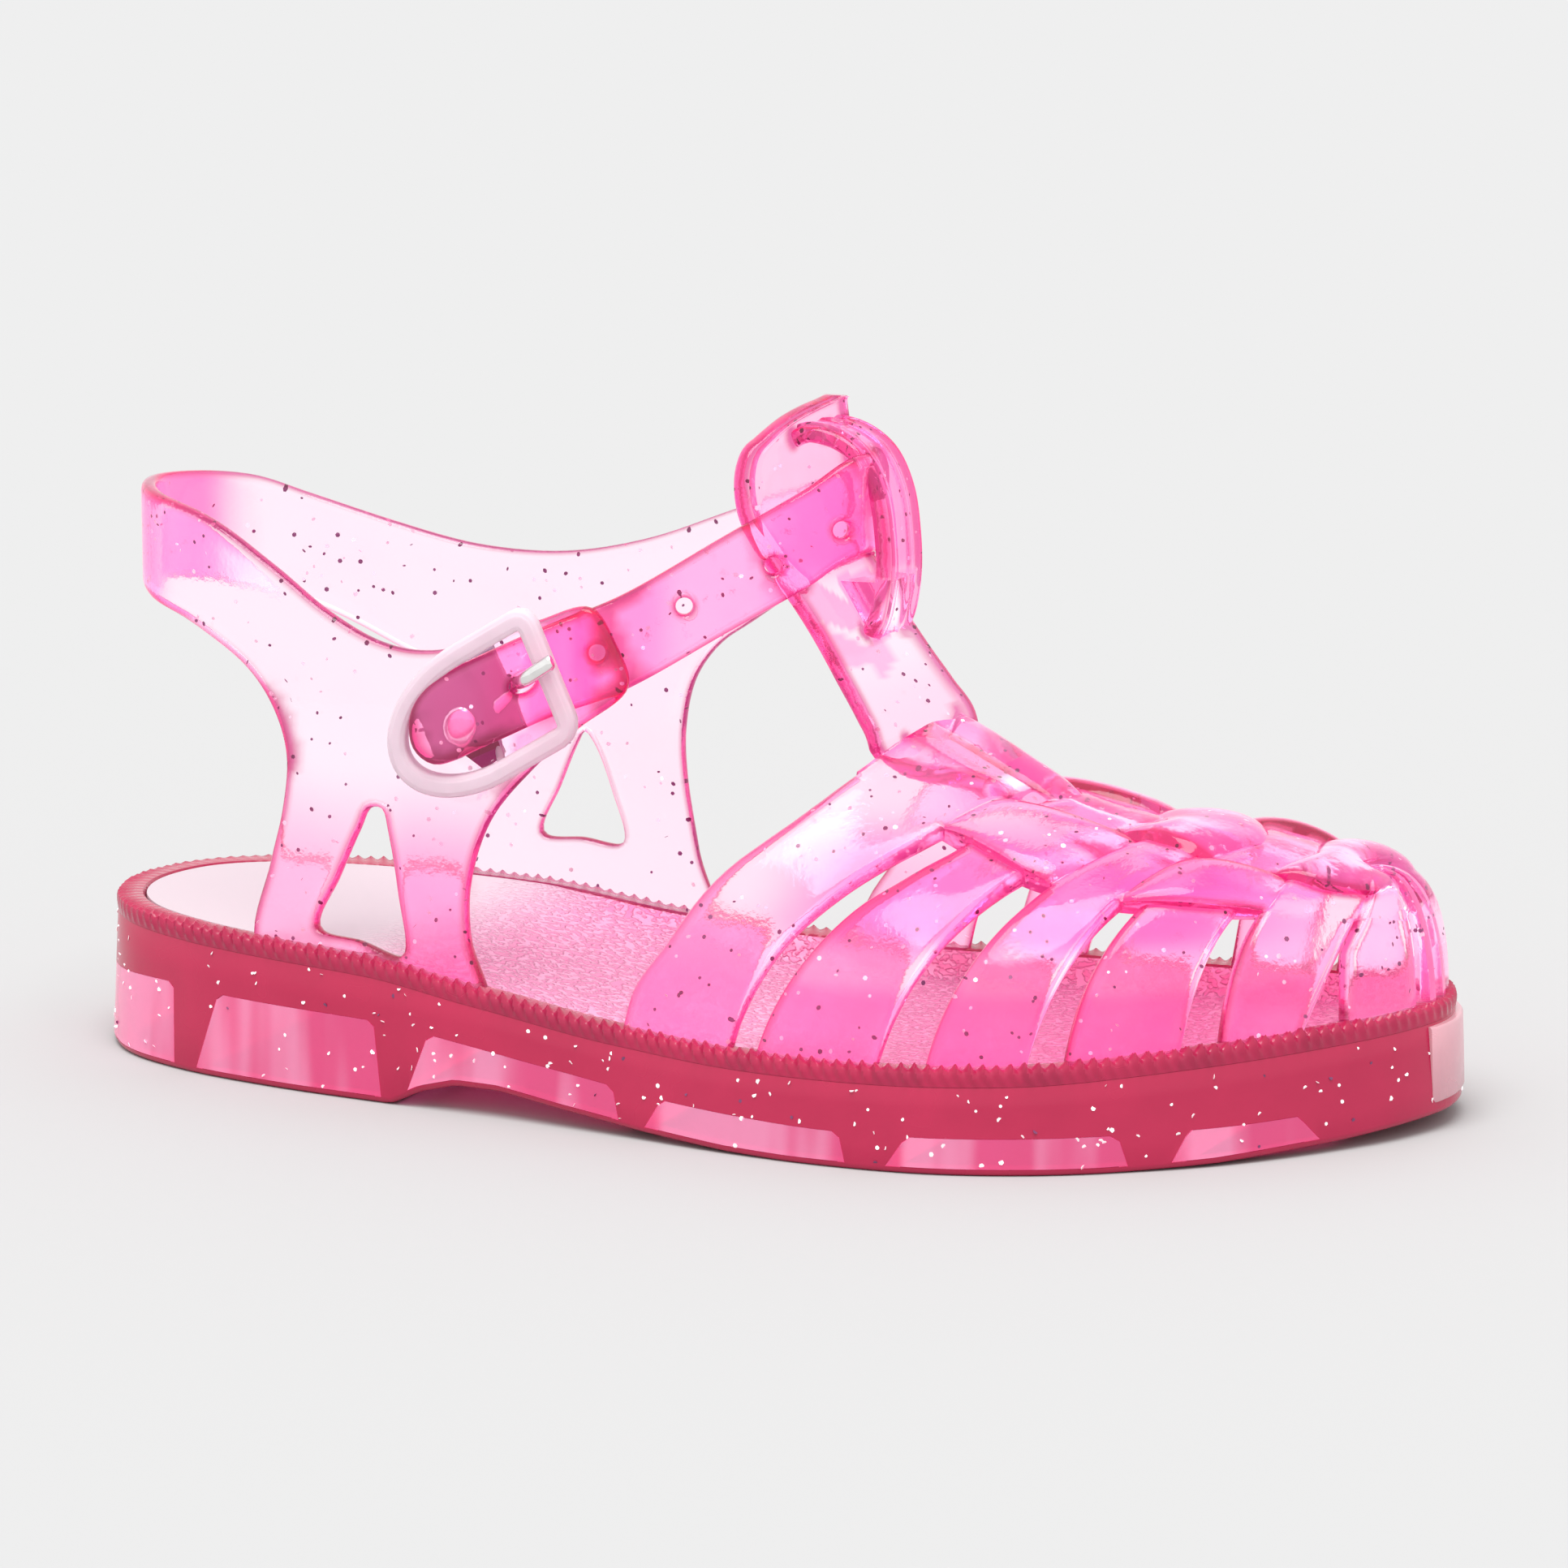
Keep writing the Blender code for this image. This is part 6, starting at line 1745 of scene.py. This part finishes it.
def flake_mesh(name, centres, radii, first, second, normals):
    """Thin six-sided plates, each turned its own way."""
    verts, faces = [], []
    for c, r, a, b, n in zip(centres, radii, first, second, normals):
        start = len(verts)
        for level in (FLAKE_HALF, -FLAKE_HALF):
            for k in range(6):
                turn = k * math.pi / 3
                verts.append(c + r * (math.cos(turn) * a + math.sin(turn) * b + level * n))
        faces.append([start + k for k in range(6)])
        faces.append([start + 6 + k for k in range(5, -1, -1)])
        for k in range(6):
            j = (k + 1) % 6
            faces.append([start + j, start + k, start + 6 + k, start + 6 + j])
    mesh = bpy.data.meshes.new(name)
    mesh.from_pydata([tuple(v) for v in verts], [], faces)
    return mesh


class JELLY_OT_glitter(Operator):
    """Scatter glitter flakes inside the walls of the upper and the sole"""

    bl_idname = "jelly.glitter"
    bl_label = "Glitter"

    def execute(self, context):
        sizes, colours = context.scene.jelly_sizes, context.scene.jelly_colours
        # Painted glint on the bright flakes and painted shade on the dark ones
        bright = flake_material("flake_painted_glint", colours.glint_flake_tint, 0.6, 0.3, 0.35)
        dark = flake_material("flake_painted_shade", colours.shaded_flake_tint, 0.2, 0.4, 0.0)
        draw = np.random.default_rng(sizes.seed)
        for name, count, share, places in (("upper", sizes.flakes_upper, 0.5, flakes_in_walls),
                                           ("sole", sizes.flakes_sole, 0.9, flakes_on_sole)):
            base, out = places(draw, count)
            radius = sizes.flake_radius * (0.7 + 0.6 * draw.random(count))
            tilt = out + 0.45 * draw.standard_normal((count, 3))
            tilt /= np.linalg.norm(tilt, axis=1)[:, None]
            first = np.cross(tilt, draw.standard_normal((count, 3)))
            first /= np.linalg.norm(first, axis=1)[:, None]
            second = np.cross(tilt, first)
            # Which flakes get the painted glint and which the painted shade is drawn at random
            is_glint = draw.random(count) < share
            for label, mat, chosen in (("bright", bright, is_glint), ("dark", dark, ~is_glint)):
                flakes = flake_mesh("glitter_%s_%s" % (name, label),
                                    *(values[chosen] for values in (base, radius, first, second, tilt)))
                flakes.materials.append(mat)
                obj = new_object(flakes.name, flakes)
                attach(obj, "root")
        return {"FINISHED"}


class JELLY_OT_stage(Operator):
    """Set the pale floor, the soft light and the photograph's camera"""

    bl_idname = "jelly.stage"
    bl_label = "Stage"

    def execute(self, context):
        scene, stage = context.scene, context.scene.jelly_stage
        scene.view_settings.view_transform = "Standard"
        far = 6.0
        mesh = bpy.data.meshes.new("floor")
        mesh.from_pydata([(-far, -far, 0), (far, -far, 0), (far, far, 0), (-far, far, 0)], [], [(0, 1, 2, 3)])
        mat, _, _ = principled("floor_paper", {"Base Color": (*stage.floor_tint, 1.0), "Roughness": 0.9,
                                               "Specular IOR Level": 0.0})
        mesh.materials.append(mat)
        floor = new_object("floor", mesh)
        world = bpy.data.worlds.new("studio")
        scene.world = world
        world.use_nodes = True
        back = world.node_tree.nodes["Background"]
        back.inputs["Color"].default_value = (1.0, 1.0, 1.0, 1.0)
        back.inputs["Strength"].default_value = stage.sky
        light = bpy.data.lights.new("overhead", "SUN")
        light.angle = stage.softness
        light.energy = stage.key
        lamp = new_object("overhead", light)
        lamp.location = (0.08, -0.35, 1.1)
        lamp.rotation_euler = (Vector((0, 0, 0.03)) - lamp.location).to_track_quat("-Z", "Y").to_euler()
        a, e, r = stage.azimuth, stage.elevation, stage.roll
        backward = Vector((math.sin(a) * math.cos(e), -math.cos(a) * math.cos(e), math.sin(e)))
        right = Vector((math.cos(a), math.sin(a), 0.0))
        up = backward.cross(right)
        turned = math.cos(r) * right + math.sin(r) * up
        upright = -math.sin(r) * right + math.cos(r) * up
        camera = bpy.data.cameras.new("camera")
        camera.lens = stage.lens
        camera.sensor_width = 36.0
        camera.clip_end = 50.0
        camera.shift_x, camera.shift_y = stage.shift
        eye = new_object("camera", camera)
        spin = Matrix((turned, upright, backward)).transposed().to_4x4()
        eye.matrix_world = Matrix.Translation(Vector(stage.target) + backward * stage.distance) @ spin
        scene.camera = eye
        return {"FINISHED"}


class JELLY_PT_panel(Panel):
    """Lists the pieces and their settings"""

    bl_idname = "JELLY_PT_panel"
    bl_label = "Jelly sandal"
    bl_space_type = "VIEW_3D"
    bl_region_type = "UI"
    bl_category = "Jelly sandal"

    def draw(self, context):
        for operator in PIECES:
            self.layout.operator(operator.bl_idname)
        for group in (context.scene.jelly_sizes, context.scene.jelly_colours, context.scene.jelly_stage):
            box = self.layout.box()
            for name in group.__annotations__:
                box.prop(group, name)


PIECES = (JELLY_OT_upper, JELLY_OT_sole, JELLY_OT_footbed, JELLY_OT_buckle, JELLY_OT_glitter, JELLY_OT_stage)
GROUPS = (("jelly_sizes", JellySizes), ("jelly_colours", JellyColours), ("jelly_stage", JellyStage))


def register():
    for _, group in GROUPS:
        bpy.utils.register_class(group)
    for operator in PIECES:
        bpy.utils.register_class(operator)
    bpy.utils.register_class(JELLY_PT_panel)
    for name, group in GROUPS:
        setattr(bpy.types.Scene, name, PointerProperty(type=group))


def unregister():
    for name, _ in GROUPS:
        delattr(bpy.types.Scene, name)
    bpy.utils.unregister_class(JELLY_PT_panel)
    for operator in reversed(PIECES):
        bpy.utils.unregister_class(operator)
    for _, group in reversed(GROUPS):
        bpy.utils.unregister_class(group)


def main():
    register()
    bpy.ops.jelly.upper()
    bpy.ops.jelly.sole()
    bpy.ops.jelly.footbed()
    bpy.ops.jelly.buckle()
    bpy.ops.jelly.glitter()
    bpy.ops.jelly.stage()


if __name__ == "__main__":
    main()
